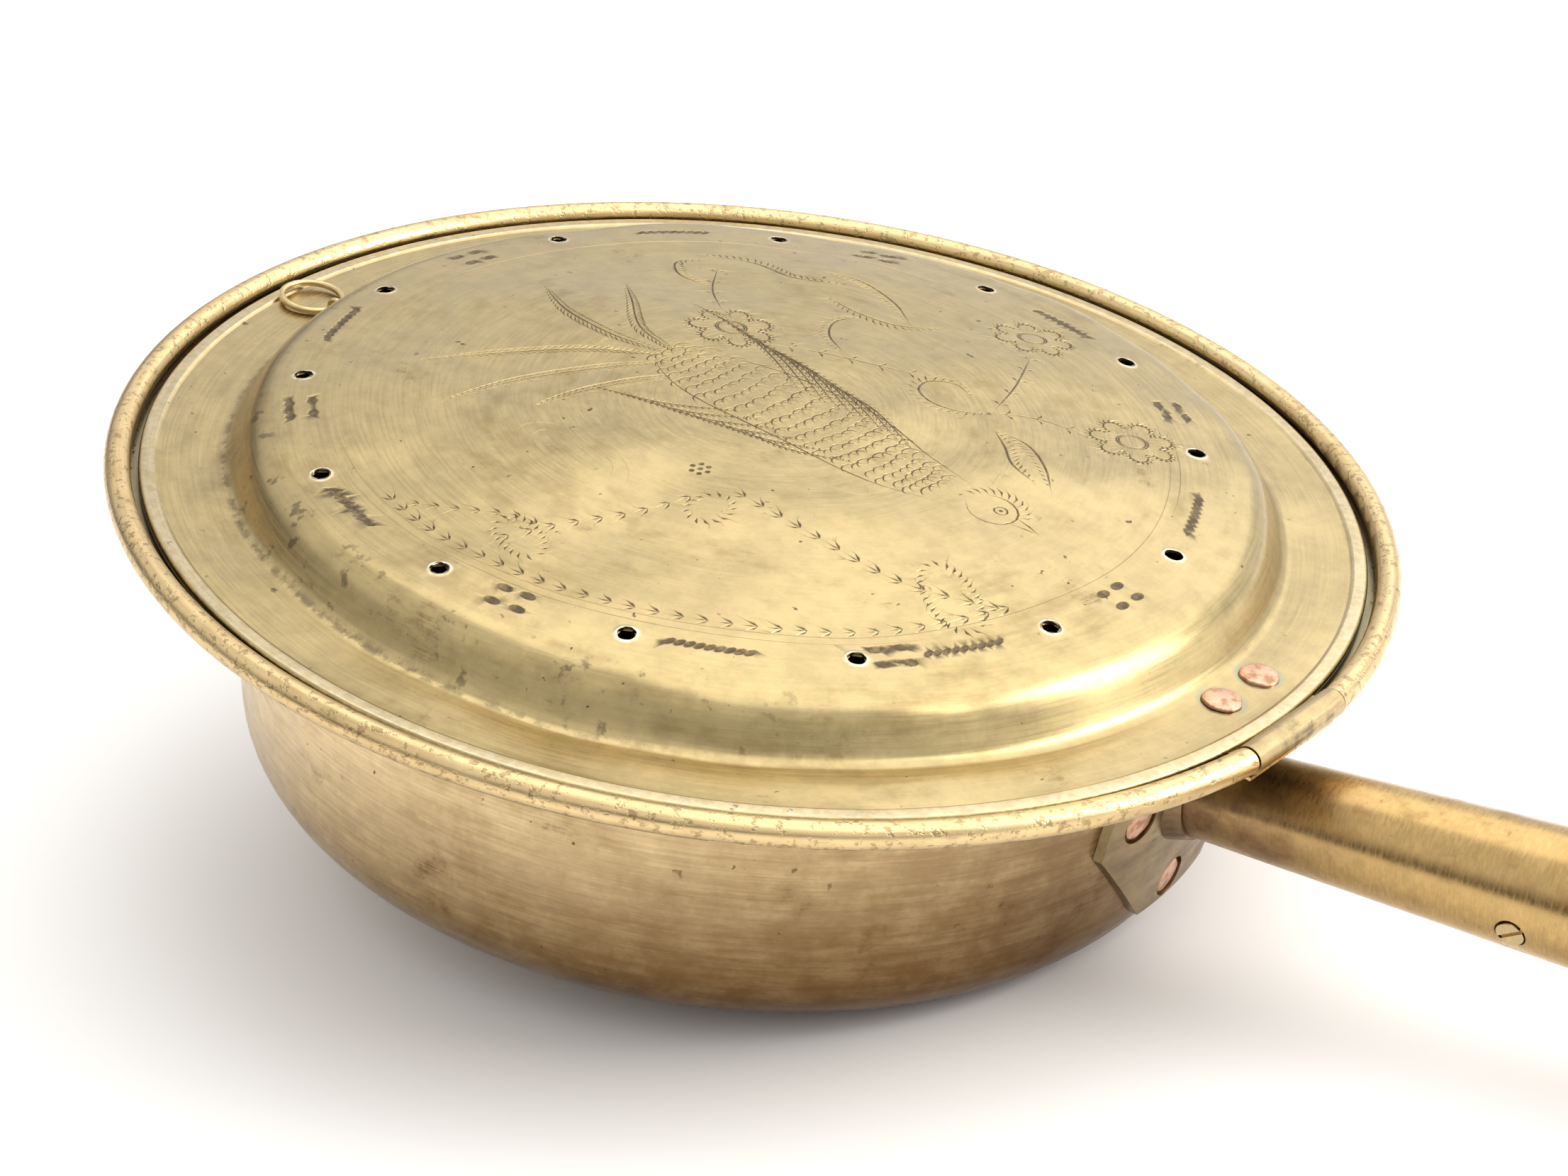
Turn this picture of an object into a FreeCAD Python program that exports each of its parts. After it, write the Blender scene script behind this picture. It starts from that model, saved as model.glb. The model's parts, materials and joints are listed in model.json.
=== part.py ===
import FreeCAD, Part
import math
import os
import re

import Sketcher
from FreeCAD import Placement, Rotation, Vector

# Long-handled brass pan with a hinged, pierced lid, for warming a bed with embers.
#
# Every piece is drawn in the pan's own frame: the origin is the centre of the pan's
# underside, Z is the pan's axis and X points along the handle. At the end each piece
# gets the placement it has when the pan stands on a table: it leans on the edge of
# its base and on the pommel of its handle.
#
# Lengths are millimetres and angles are degrees.

SIZES = {
    # Pan: a spun bowl with a flat brim, rolled over a wire at its rim.
    "rim_radius": 150.0,
    "rim_height": 76.5,
    "wire_radius": 2.25,
    "roll_clearance": 0.05,
    "roll_end_angle": 185.0,
    "sheet_thickness": 0.8,
    "wall_top_radius": 126.0,
    "wall_lean": 6.2,
    "base_corner": 18.0,
    "brim_corner": 4.0,
    # Hinge: the rim wire runs straight across a gap in the roll and is the pin.
    "gap_half_angle": 6.9,
    "gap_half_length": 18.0,
    "gap_depth": 5.0,
    "lip_drop": 4.0,
    "lip_thickness": 0.8,
    "lip_reach": 0.2,
    "barrel_half_length": 17.5,
    "barrel_clearance": 0.08,
    "strap_thickness": 1.0,
    "strap_end_radius": 127.0,
    "strap_corner": 4.0,
    # Lid: flange, raised hem and a shallow dome.
    "lid_thickness": 0.7,
    "lid_radius": 145.2,
    "flange_rise": 0.3,
    "hem_inner_radius": 141.0,
    "hem_rise": 0.8,
    "hem_drop": 1.9,
    "hem_round": 1.1,
    "hem_cut_half_length": 18.2,
    "dome_shoulder_radius": 118.5,
    "dome_side_angle": 61.0,
    "dome_shoulder_round": 9.0,
    "dome_base_round": 4.0,
    "crown_rise": 20.5,
    "crown_curve": 830.0,
    "vent_circle": 106.4,            # its centre stands off the lid's own
    "vent_shift_back": 3.2,
    "vent_shift_side": 0.5,
    "vent_radius": 2.15,
    # Rivets of the hinge strap.
    "strap_rivet_circle": 132.0,
    "strap_rivet_half_spacing": 7.7,
    "strap_rivet_shift": 6.2,
    "rivet_shank": 2.0,
    "strap_rivet_head": 4.75,
    "strap_rivet_head_rise": 1.1,
    "strap_rivet_tail": 3.4,
    "strap_rivet_tail_rise": 0.4,
    # Ring that lifts the lid, and its eye.
    "lift_ring_radius": 7.6,
    "lift_ring_wire": 0.85,
    "ring_eye_circle": 127.2,
    "ring_eye_wire": 0.8,
    "ring_eye_clearance": 0.1,
    "ring_eye_clinch": 0.8,
    # Plate that carries the handle socket.
    "plate_thickness": 2.2,
    "plate_half_width": 38.0,
    "plate_foot_half_width": 16.5,
    "plate_top": 68.6,
    "plate_waist": 39.0,
    "plate_foot": 14.5,
    "plate_rivet_head": 4.6,
    "plate_rivet_head_rise": 1.1,
    "plate_well_radius": 5.2,
    "plate_well_depth": 1.2,
    "plate_rivet_tail": 3.4,
    "plate_rivet_tail_rise": 0.6,
    # Conical socket, its collar, mouth ring and screw. Stations run along the
    # socket's axis from the point at which the axis passes socket_reach.
    "socket_radius": 11.85,
    "socket_taper": 0.04,
    "socket_thickness": 1.0,
    "socket_start": -24.0,
    "socket_mouth": 125.0,
    "collar_start": -22.0,
    "collar_end": -15.5,
    "collar_base_radius": 13.6,
    "collar_neck_radius": 12.0,
    "mouth_ring_wire": 1.5,
    "screw_station": 63.0,
    "screw_head": 3.15,
    "screw_head_height": 1.5,
    "screw_hole": 3.6,
    "screw_shank": 1.7,
    "screw_length": 14.0,
    "screw_slot_width": 0.9,
    "screw_slot_depth": 0.8,
    # Turned wooden handle.
    "tenon_start": 30.0,
    "tenon_clearance": 0.05,
    "bead_length": 7.0,
    "cove_radius": 13.2,
    "cove_length": 6.0,
    "ring_bead_radius": 16.5,
    "ring_bead_length": 5.0,
    "grip_start_radius": 15.0,
    "grip_bow": 7600.0,
    "neck_station": 722.0,
    "neck_radius": 10.5,
    "pommel_station": 747.0,
    "pommel_radius": 13.0,
    "handle_end": 758.0,
    # Eye and ring in the end of the handle, to hang the pan by.
    "hang_eye_radius": 5.2,
    "hang_eye_wire": 1.2,
    "hang_eye_shank": 24.0,
    "hang_ring_radius": 14.0,
    "hang_ring_wire": 1.4,
    "hang_ring_play": 0.3,
}

# Vents punched through the crown by hand, as angles round their own circle.
VENT_ANGLES = (-143, -117, -90.5, -65.5, -39, -13.5, 13, 41.5, 67.5, 94.5, 125.5, 157.5, 188.5)

# Where the socket's axis passes: its distance from the pan's axis, how far it stands
# to the side, its drop below the rim wire, and its slope up from the rim's plane.
SOCKET_REACH = 142.7
SOCKET_SIDE = -7.0
SOCKET_DROP = 27.5
SOCKET_PITCH = 6.615

HINGE_OFFSET = -6.7             # the hinge stands this far round from the handle
SCREW_ROLL = 200.0              # round the socket, from +Y over the top
RING_REST_SLOPE = 3.0           # the lift ring lies on the hem, its far side raised
PLATE_RIVETS = {                # across the plate, and height above the underside
    "plate_rivet_left": (28.0, 46.0),
    "plate_rivet_right": (-28.0, 46.0),
    "plate_rivet_bottom": (-5.0, 20.0),
}
FLOOR_GAP = 0.2                 # left under the hanging ring, which lies on the table

doc = FreeCAD.newDocument("bed_warming_pan")
sheet = doc.addObject("Spreadsheet::Sheet", "Sizes")
for row, (alias, number) in enumerate(SIZES.items(), start=1):
    sheet.set(f"A{row}", alias.replace("_", " "))
    sheet.set(f"B{row}", str(number))
    sheet.setAlias(f"B{row}", alias)
doc.recompute()


# Expressions ------------------------------------------------------------------

def sized(expression):
    """The expression with the sheet's name in front of each of its aliases."""
    def name(word):
        return f"Sizes.{word[0]}" if word[0] in SIZES else word[0]
    return re.sub(r"[a-z_]+", name, str(expression))


def value(expression):
    """What an expression comes to now."""
    return float(sheet.evalExpression(sized(expression)))


def bind(piece, **expressions):
    """Tie properties of a piece to expressions of the sheet."""
    for name, expression in expressions.items():
        piece.setExpression(name, sized(expression))


# Expressions that several pieces share.
ROLL_INNER = "(wire_radius + roll_clearance)"
ROLL_OUTER = "(wire_radius + roll_clearance + sheet_thickness)"
HINGE_X = "(rim_radius * cos(gap_half_angle))"
BARREL_INNER = "(wire_radius + barrel_clearance)"
BARREL_OUTER = "(wire_radius + barrel_clearance + strap_thickness)"
FLANGE_TOP = "(rim_height + flange_rise)"
FLANGE_UNDER = "(rim_height + flange_rise - lid_thickness)"
WALL_HEIGHT = f"(rim_height - {ROLL_OUTER})"
WALL_BASE_RADIUS = f"(wall_top_radius - {WALL_HEIGHT} * tan(wall_lean))"
PLATE_OFFSET = "(plate_thickness / cos(wall_lean))"


# Sketches and features --------------------------------------------------------

def add_body(label):
    """A new body with its own label."""
    body = doc.addObject("PartDesign::Body", label)
    body.Label = label
    return body


def add_sketch(body, role):
    """A sketch on one of the body's own origin planes."""
    sketch = body.newObject("Sketcher::SketchObject", f"{body.Name}_sketch")
    plane = next(item for item in body.Origin.OriginFeatures if item.Role == role)
    sketch.AttachmentSupport = (plane, [""])
    sketch.MapMode = "FlatFace"
    return sketch


def fix_point(sketch, geometry, end, across, up):
    """Hold a point of the sketch at a pair of expressions."""
    for kind, axis, expression in (("DistanceX", -2, across), ("DistanceY", -1, up)):
        number = value(expression)
        if abs(number) < 1e-9:
            sketch.addConstraint(Sketcher.Constraint("PointOnObject", geometry, end, axis))
            continue
        ends = (-1, 1, geometry, end) if number > 0 else (geometry, end, -1, 1)
        index = sketch.addConstraint(Sketcher.Constraint(kind, *ends, abs(number)))
        signed = expression if number > 0 else f"-({expression})"
        sketch.setExpression(f"Constraints[{index}]", sized(signed))


def set_radius(sketch, geometry, radius):
    """Give a circle or an arc of the sketch its radius."""
    index = sketch.addConstraint(Sketcher.Constraint("Radius", geometry, value(radius)))
    sketch.setExpression(f"Constraints[{index}]", sized(radius))


def arc_between(start, end, radius, left):
    """The short arc from start to end with its centre to the left or the right."""
    half = (end - start) * 0.5
    to_centre = Vector(-half.y, half.x, 0).normalize() * math.sqrt(radius**2 - half.Length**2)
    centre = start + half + (to_centre if left else to_centre * -1)
    first, last = (start, end) if left else (end, start)
    angles = [math.atan2(point.y - centre.y, point.x - centre.x) for point in (first, last)]
    return Part.ArcOfCircle(Part.Circle(centre, Vector(0, 0, 1), radius), *angles)


def draw_outline(sketch, corners, arcs=None):
    """Close a loop through corners, each a pair of expressions.

    arcs gives, for the number of a corner, the radius of the arc that leaves it and
    whether that arc's centre is on its left.
    """
    arcs = arcs or {}
    points = [Vector(value(across), value(up), 0) for across, up in corners]
    starts, ends = [], []
    for number, start in enumerate(points):
        end = points[(number + 1) % len(points)]
        if number in arcs:
            radius, left = arcs[number]
            geometry = sketch.addGeometry(arc_between(start, end, value(radius), left), False)
            set_radius(sketch, geometry, radius)
        else:
            left = True
            geometry = sketch.addGeometry(Part.LineSegment(start, end), False)
        starts.append((geometry, 1 if left else 2))
        ends.append((geometry, 2 if left else 1))
    for number, corner in enumerate(corners):
        sketch.addConstraint(Sketcher.Constraint("Coincident", *ends[number - 1], *starts[number]))
        fix_point(sketch, *starts[number], *corner)


def draw_circle(sketch, across, up, radius):
    """A circle whose centre and radius are expressions."""
    centre = Vector(value(across), value(up), 0)
    circle = Part.Circle(centre, Vector(0, 0, 1), value(radius))
    geometry = sketch.addGeometry(circle, False)
    fix_point(sketch, geometry, 3, across, up)
    set_radius(sketch, geometry, radius)


def rectangle(left, bottom, right, top):
    """The four corners of a rectangle."""
    return [(left, bottom), (right, bottom), (right, top), (left, top)]


def revolve(body, sketch):
    """Turn a sketch a full turn about the body's Z axis."""
    feature = body.newObject("PartDesign::Revolution", f"{body.Name}_revolution")
    feature.Profile = sketch
    feature.ReferenceAxis = (sketch, ["V_Axis"])
    feature.Angle = 360.0
    doc.recompute()
    return feature


def pad(body, sketch, length):
    """Add a sketch, drawn out to both sides of its plane."""
    feature = body.newObject("PartDesign::Pad", f"{body.Name}_pad")
    feature.Profile = sketch
    feature.Midplane = True
    bind(feature, Length=length)
    doc.recompute()
    return feature


def pocket(body, sketch, length=None):
    """Cut a sketch away to both sides of its plane, right through if it has no length."""
    before = body.Shape.Volume
    feature = body.newObject("PartDesign::Pocket", f"{body.Name}_pocket")
    feature.Profile = sketch
    feature.Midplane = True
    if length is None:
        feature.Type = "ThroughAll"
    else:
        bind(feature, Length=length)
    doc.recompute()
    if body.Shape.Volume >= before:
        raise RuntimeError(f"{feature.Name} cuts nothing")
    return feature


def round_edges(body, radius, edges):
    """Round the edges of the body's tip that a test picks out."""
    tip = body.Tip
    names = [f"Edge{number}" for number, edge in enumerate(tip.Shape.Edges, start=1) if edges(edge)]
    if not names:
        raise RuntimeError(f"no edge of {body.Label} to round")
    feature = body.newObject("PartDesign::Fillet", f"{body.Name}_round")
    feature.Base = (tip, names)
    bind(feature, Radius=radius)
    doc.recompute()
    return feature


def circle_at(radius, height):
    """A test for the edge that runs round the Z axis at a radius and a height."""
    wanted = value(radius), value(height)

    def test(edge):
        if edge.Degenerated or not isinstance(edge.Curve, Part.Circle):
            return False
        curve = edge.Curve
        return max(abs(curve.Radius - wanted[0]), abs(curve.Center.z - wanted[1])) < 1e-4
    return test


def primitive(kind, name, placement=None, **expressions):
    """A Part primitive tied to the sheet."""
    piece = doc.addObject(f"Part::{kind}", name)
    if placement:
        piece.Placement = placement
    bind(piece, **expressions)
    return piece


def cut(label, base, *tools):
    """Take tools away from a base, one after the other."""
    piece = base
    for number, tool in enumerate(tools, start=1):
        step = doc.addObject("Part::Cut", label if number == len(tools) else f"{label}_cut")
        step.Base = piece
        step.Tool = tool
        piece = step
    piece.Label = label
    return piece


def fuse(label, *pieces):
    """Join pieces into one."""
    piece = doc.addObject("Part::MultiFuse", label)
    piece.Shapes = list(pieces)
    piece.Label = label
    return piece


# Places -----------------------------------------------------------------------

X, Y, Z = Vector(1, 0, 0), Vector(0, 1, 0), Vector(0, 0, 1)


def turn(axis, angle, centre=Vector()):
    """A rotation about an axis through a point."""
    return Placement(Vector(), Rotation(axis, angle), centre)


def move(across=0.0, along=0.0, up=0.0):
    """A shift along X, Y and Z."""
    return Placement(Vector(across, along, up), Rotation())


def socket_place(station=0.0):
    """A place on the socket's axis, with local Z along the axis and local Y level."""
    start = move(SOCKET_REACH, SOCKET_SIDE, value("rim_height") - SOCKET_DROP)
    return start * turn(Y, 90 - SOCKET_PITCH) * move(up=station)


def wall_place(across, height):
    """A place on the plate's outer face, with local Z square to the wall."""
    spread = height * math.tan(math.radians(value("wall_lean")))
    radius = value(f"{WALL_BASE_RADIUS} + {PLATE_OFFSET}") + spread
    azimuth = math.degrees(math.asin(across / radius))
    return turn(Z, azimuth) * move(radius, 0, height) * turn(Y, 90 + value("wall_lean"))


def lid_place():
    """The lid and the rim gap stand a little way round from the handle."""
    return turn(Z, HINGE_OFFSET)


# Pan --------------------------------------------------------------------------

def make_pan_bowl(rivet_shanks):
    """Spun bowl, flat brim and the roll that closes over the rim wire."""
    body = add_body("pan_shell")
    section = add_sketch(body, "XZ_Plane")
    inset = "(sheet_thickness * tan(wall_lean) - sheet_thickness / cos(wall_lean))"
    brim_under = f"(rim_height - {ROLL_OUTER})"
    brim_top = f"({brim_under} + sheet_thickness)"
    draw_outline(section, [
        ("0", "0"),
        (WALL_BASE_RADIUS, "0"),
        ("wall_top_radius", brim_under),
        ("rim_radius", brim_under),
        ("rim_radius", brim_top),
        (f"wall_top_radius + {inset}", brim_top),
        (f"{WALL_BASE_RADIUS} + {inset}", "sheet_thickness"),
        ("0", "sheet_thickness"),
    ])
    revolve(body, section)
    round_edges(body, "base_corner", circle_at(WALL_BASE_RADIUS, "0"))
    round_edges(body, "base_corner - sheet_thickness",
                circle_at(f"{WALL_BASE_RADIUS} + {inset}", "sheet_thickness"))
    round_edges(body, "brim_corner", circle_at("wall_top_radius", brim_under))
    round_edges(body, "brim_corner + sheet_thickness",
                circle_at(f"wall_top_radius + {inset}", brim_top))

    roll = add_sketch(body, "XZ_Plane")
    draw_roll(roll)
    revolve(body, roll)

    gap = add_sketch(body, "XY_Plane")
    draw_outline(gap, rectangle("rim_radius - gap_depth", "-gap_half_length",
                                f"rim_radius + 2 * {ROLL_OUTER}", "gap_half_length"))
    pocket(body, gap)

    lip = add_sketch(body, "XZ_Plane")
    lip_top = "(rim_height - lip_drop)"
    lip_under = f"({lip_top} - lip_thickness)"
    lip_start = "(rim_radius - gap_depth - 2 * lip_thickness)"
    draw_outline(lip, [
        (lip_start, brim_top),
        (lip_start, lip_under),
        ("rim_radius + lip_reach", lip_under),
        ("rim_radius + lip_reach", lip_top),
        (f"{lip_start} + lip_thickness", lip_top),
        (f"{lip_start} + lip_thickness", brim_top),
    ])
    pad(body, lip, "2 * gap_half_length - 2 * lip_thickness")
    body.Placement = lid_place()
    return cut("pan_bowl", body, *rivet_shanks)


def draw_roll(sketch):
    """Section of the roll: a ring from under the wire, round its outside, to its inside."""
    centre = Vector(value("rim_radius"), value("rim_height"), 0)
    span = [math.radians(-90), math.radians(value("roll_end_angle"))]
    arcs = []
    for radius in (ROLL_INNER, ROLL_OUTER):
        circle = Part.Circle(centre, Vector(0, 0, 1), value(radius))
        arc = sketch.addGeometry(Part.ArcOfCircle(circle, *span), False)
        set_radius(sketch, arc, radius)
        fix_point(sketch, arc, 3, "rim_radius", "rim_height")
        index = sketch.addConstraint(Sketcher.Constraint("DistanceX", -1, 1, arc, 1, centre.x))
        sketch.setExpression(f"Constraints[{index}]", sized("rim_radius"))
        height = f"rim_height + {radius} * sin(roll_end_angle)"
        index = sketch.addConstraint(Sketcher.Constraint("DistanceY", -1, 1, arc, 2, value(height)))
        sketch.setExpression(f"Constraints[{index}]", sized(height))
        arcs.append(arc)
    for end in (1, 2):
        points = [sketch.getPoint(arc, end) for arc in arcs]
        line = sketch.addGeometry(Part.LineSegment(*points), False)
        for line_end, arc in enumerate(arcs, start=1):
            sketch.addConstraint(Sketcher.Constraint("Coincident", line, line_end, arc, end))


def make_rim_wire():
    """Wire of the rim: a circle with one straight stretch, which is the hinge pin."""
    overlap = "0.1"
    circle = primitive("Torus", "rim_wire_circle", Radius1="rim_radius", Radius2="wire_radius",
                       Angle3=f"360 - 2 * gap_half_angle + 2 * {overlap}")
    first = value(f"gap_half_angle - {overlap}")
    circle.Placement = move(up=value("rim_height")) * turn(Z, first)
    straight = primitive("Cylinder", "rim_wire_pin", Radius="wire_radius",
                         Height=f"2 * rim_radius * sin(gap_half_angle + {overlap})")
    half = value(f"rim_radius * sin(gap_half_angle + {overlap})")
    straight.Placement = move(value(HINGE_X), half, value("rim_height")) * turn(X, 90)
    piece = fuse("rim_wire", circle, straight)
    piece.Placement = lid_place()
    return piece


# Lid --------------------------------------------------------------------------

def make_lid_cover():
    """Lid: flange with a raised hem, a shallow dome, vents and the holes of its fittings."""
    body = add_body("lid_cover")
    section = add_sketch(body, "XZ_Plane")
    crown_centre = "(rim_height + crown_rise - crown_curve)"
    inner_curve = "(crown_curve - lid_thickness)"
    inset = "(lid_thickness * tan(dome_side_angle / 2))"
    shoulder = "dome_shoulder_radius"
    shoulder_top = f"({crown_centre} + sqrt(crown_curve^2 - {shoulder}^2))"
    inner_shoulder = f"({shoulder} - {inset})"
    inner_shoulder_top = f"({crown_centre} + sqrt({inner_curve}^2 - {inner_shoulder}^2))"
    base = f"({shoulder} + ({shoulder_top} - {FLANGE_TOP}) / tan(dome_side_angle))"
    hem_top = "(rim_height + hem_rise)"
    hem_under = "(rim_height - hem_drop)"
    draw_outline(section, [
        ("0", "rim_height + crown_rise - lid_thickness"),
        (inner_shoulder, inner_shoulder_top),
        (f"{base} - {inset}", FLANGE_UNDER),
        ("hem_inner_radius", FLANGE_UNDER),
        ("hem_inner_radius", hem_under),
        ("lid_radius", hem_under),
        ("lid_radius", hem_top),
        ("hem_inner_radius + hem_rise", hem_top),
        ("hem_inner_radius", FLANGE_TOP),
        (base, FLANGE_TOP),
        (shoulder, shoulder_top),
        ("0", "rim_height + crown_rise"),
    ], arcs={0: (inner_curve, False), 10: ("crown_curve", True)})
    revolve(body, section)
    round_edges(body, "dome_shoulder_round", circle_at(shoulder, shoulder_top))
    round_edges(body, "dome_shoulder_round - lid_thickness",
                circle_at(inner_shoulder, inner_shoulder_top))
    round_edges(body, "dome_base_round", circle_at(base, FLANGE_TOP))
    round_edges(body, "dome_base_round + lid_thickness",
                circle_at(f"{base} - {inset}", FLANGE_UNDER))
    round_edges(body, "hem_round", circle_at("lid_radius", hem_top))
    round_edges(body, "hem_round", circle_at("lid_radius", hem_under))

    strap_way = add_sketch(body, "XZ_Plane")
    draw_outline(strap_way, rectangle("hem_inner_radius - 2", f"{hem_under} - 1",
                                      "lid_radius + 1", FLANGE_UNDER))
    pocket(body, strap_way, "2 * hem_cut_half_length")

    vents = add_sketch(body, "XY_Plane")
    for angle in VENT_ANGLES:
        draw_circle(vents, f"vent_circle * cos({angle}) - vent_shift_back",
                    f"vent_circle * sin({angle}) - vent_shift_side", "vent_radius")
    pocket(body, vents)

    fixings = add_sketch(body, "XY_Plane")
    for side in ("+", "-"):
        draw_circle(fixings, "strap_rivet_circle",
                    f"strap_rivet_shift {side} strap_rivet_half_spacing", "rivet_shank")
    angle = 180 - HINGE_OFFSET
    for leg in ring_eye_legs():
        draw_circle(fixings, f"{leg} * cos({angle})", f"{leg} * sin({angle})", "ring_eye_wire")
    pocket(body, fixings)
    body.Placement = lid_place()
    return body


def ring_eye_legs():
    """Radii at which the two legs of the lift ring's eye stand."""
    reach = "(lift_ring_wire + ring_eye_clearance + ring_eye_wire)"
    return f"(ring_eye_circle - {reach})", f"(ring_eye_circle + {reach})"


def make_hinge_strap():
    """Strap bent round the rim wire, with its leaf under the lid's flange."""
    body = add_body("hinge_strap")
    leaf = add_sketch(body, "XZ_Plane")
    draw_outline(leaf, rectangle("strap_end_radius", f"{FLANGE_UNDER} - strap_thickness",
                                 HINGE_X, FLANGE_UNDER))
    pad(body, leaf, "2 * barrel_half_length")
    barrel = add_sketch(body, "XZ_Plane")
    draw_circle(barrel, HINGE_X, "rim_height", BARREL_OUTER)
    pad(body, barrel, "2 * barrel_half_length")
    bore = add_sketch(body, "XZ_Plane")
    draw_circle(bore, HINGE_X, "rim_height", BARREL_INNER)
    pocket(body, bore)
    end = value("strap_end_radius")
    round_edges(body, "strap_corner", lambda edge: all(
        abs(point.X - end) < 1e-4 for point in edge.Vertexes) and abs(
        edge.tangentAt(edge.FirstParameter).z) > 0.9)
    holes = add_sketch(body, "XY_Plane")
    for side in ("+", "-"):
        draw_circle(holes, "strap_rivet_circle",
                    f"strap_rivet_shift {side} strap_rivet_half_spacing", "rivet_shank")
    pocket(body, holes)
    body.Placement = lid_place()
    return body


def make_rivet(label, place, head, rise, grip, tail, tail_rise):
    """Rivet with a low domed head, its local Z pointing out of the head's side."""
    body = add_body(label)
    section = add_sketch(body, "XZ_Plane")
    curve = f"(({head}^2 + {rise}^2) / (2 * {rise}))"
    draw_outline(section, [
        ("0", f"-({grip}) - {tail_rise}"),
        (tail, f"-({grip}) - {tail_rise}"),
        (tail, f"-({grip})"),
        ("rivet_shank", f"-({grip})"),
        ("rivet_shank", "0"),
        (head, "0"),
        ("0", rise),
    ], arcs={5: (curve, True)})
    revolve(body, section)
    body.Placement = place
    return body


def make_strap_rivets():
    """The two rivets that hold the strap under the flange."""
    pieces = {}
    for label, side in (("hinge_rivet_left", 1), ("hinge_rivet_right", -1)):
        across = value("strap_rivet_shift") + side * value("strap_rivet_half_spacing")
        place = lid_place() * move(value("strap_rivet_circle"), across, value(FLANGE_TOP))
        pieces[label] = make_rivet(label, place, "strap_rivet_head", "strap_rivet_head_rise",
                                   "lid_thickness + strap_thickness", "strap_rivet_tail",
                                   "strap_rivet_tail_rise")
    return pieces


def ring_pivot():
    """Where the lift ring turns in its eye."""
    height = value(f"{FLANGE_TOP} + lift_ring_wire + ring_eye_clearance")
    return turn(Z, 180) * move(value("ring_eye_circle"), 0, height)


def make_ring_eye():
    """Staple over the lift ring, its two legs through the flange."""
    arch = primitive("Torus", "ring_eye_arch", ring_pivot() * turn(X, 90),
                     Radius1="lift_ring_wire + ring_eye_clearance + ring_eye_wire",
                     Radius2="ring_eye_wire", Angle3="180")
    pivot = value(f"{FLANGE_TOP} + lift_ring_wire + ring_eye_clearance")
    foot = value(f"{FLANGE_UNDER} - ring_eye_clinch")
    legs = []
    for number, radius in enumerate(ring_eye_legs()):
        place = turn(Z, 180) * move(value(radius), 0, foot)
        legs.append(primitive("Cylinder", f"ring_eye_leg_{number}", place, Radius="ring_eye_wire",
                              Height=str(pivot - foot)))
    return fuse("ring_eye", arch, *legs)


def make_lift_ring():
    """Small ring that lies on the flange, opposite the handle."""
    place = ring_pivot() * turn(Y, -RING_REST_SLOPE) * move(value("lift_ring_radius"))
    return primitive("Torus", "lift_ring", place, Radius1="lift_ring_radius",
                     Radius2="lift_ring_wire")


# Plate and socket -------------------------------------------------------------

def wall_cone(name, offset):
    """Solid cone that stands out from the pan's wall by an offset."""
    return primitive("Cone", name, Radius1=f"{WALL_BASE_RADIUS} + {offset}",
                     Radius2=f"wall_top_radius + {offset}", Height=WALL_HEIGHT)


def make_handle_plate(holes):
    """Six-sided plate bent round the wall, which spreads the handle's load."""
    outline = add_body("plate_outline")
    face = add_sketch(outline, "YZ_Plane")
    draw_outline(face, [
        ("plate_half_width", "plate_waist"),
        ("plate_half_width", "plate_top"),
        ("-plate_half_width", "plate_top"),
        ("-plate_half_width", "plate_waist"),
        ("-plate_foot_half_width", "plate_foot"),
        ("plate_foot_half_width", "plate_foot"),
    ])
    pad(outline, face, "4 * rim_radius")
    near_half = primitive("Box", "plate_near_half", move(0, -value("rim_radius"), 0),
                          Length="rim_radius", Width="2 * rim_radius", Height="rim_height")
    outside = wall_cone("plate_outside", PLATE_OFFSET)
    blank = doc.addObject("Part::MultiCommon", "plate_blank")
    blank.Shapes = [outline, outside, near_half]
    return cut("handle_plate", blank, wall_cone("plate_inside", "0"), *holes)


def plate_grip():
    """What a plate rivet holds together: the plate, less its well, and the wall."""
    return "plate_thickness - plate_well_depth + sheet_thickness + 0.05"


def make_plate_rivets():
    """The three rivets through the plate and the wall."""
    sunk = move(up=-value("plate_well_depth"))
    return {label: make_rivet(label, wall_place(*spot) * sunk, "plate_rivet_head",
                              "plate_rivet_head_rise", plate_grip(), "plate_rivet_tail",
                              "plate_rivet_tail_rise")
            for label, spot in PLATE_RIVETS.items()}


def shank_tools(owner):
    """Cylinders that drill the holes for the plate rivets."""
    depth = value(f"{plate_grip()} + plate_well_depth") + 2
    return [primitive("Cylinder", f"{owner}_drill", wall_place(*spot) * move(up=-depth),
                      Radius="rivet_shank", Height=str(2 * depth))
            for spot in PLATE_RIVETS.values()]


def well_tools():
    """Cylinders that sink the wells for the heads of the plate rivets."""
    sunk = move(up=-value("plate_well_depth"))
    return [primitive("Cylinder", "plate_well", wall_place(*spot) * sunk,
                      Radius="plate_well_radius", Height="2 * plate_thickness")
            for spot in PLATE_RIVETS.values()]


def socket_cone(name, offset, start, end):
    """Solid cone along the socket, set in or out from its outer face."""
    return primitive("Cone", name, socket_place(value(start)),
                     Radius1=f"socket_radius + socket_taper * ({start}) + {offset}",
                     Radius2=f"socket_radius + socket_taper * ({end}) + {offset}",
                     Height=f"({end}) - ({start})")


def make_socket_tube():
    """Conical tube seated on the plate, open at its mouth, drilled for its screw."""
    outside = socket_cone("socket_outside", "0", "socket_start", "socket_mouth")
    inside = socket_cone("socket_inside", "-socket_thickness", "socket_start - 1",
                         "socket_mouth + 1")
    hole = primitive("Cylinder", "socket_screw_hole", screw_place() * move(up=-6),
                     Radius="screw_hole", Height="12")
    return cut("socket_tube", outside, inside, wall_cone("socket_seat", PLATE_OFFSET), hole)


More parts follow.
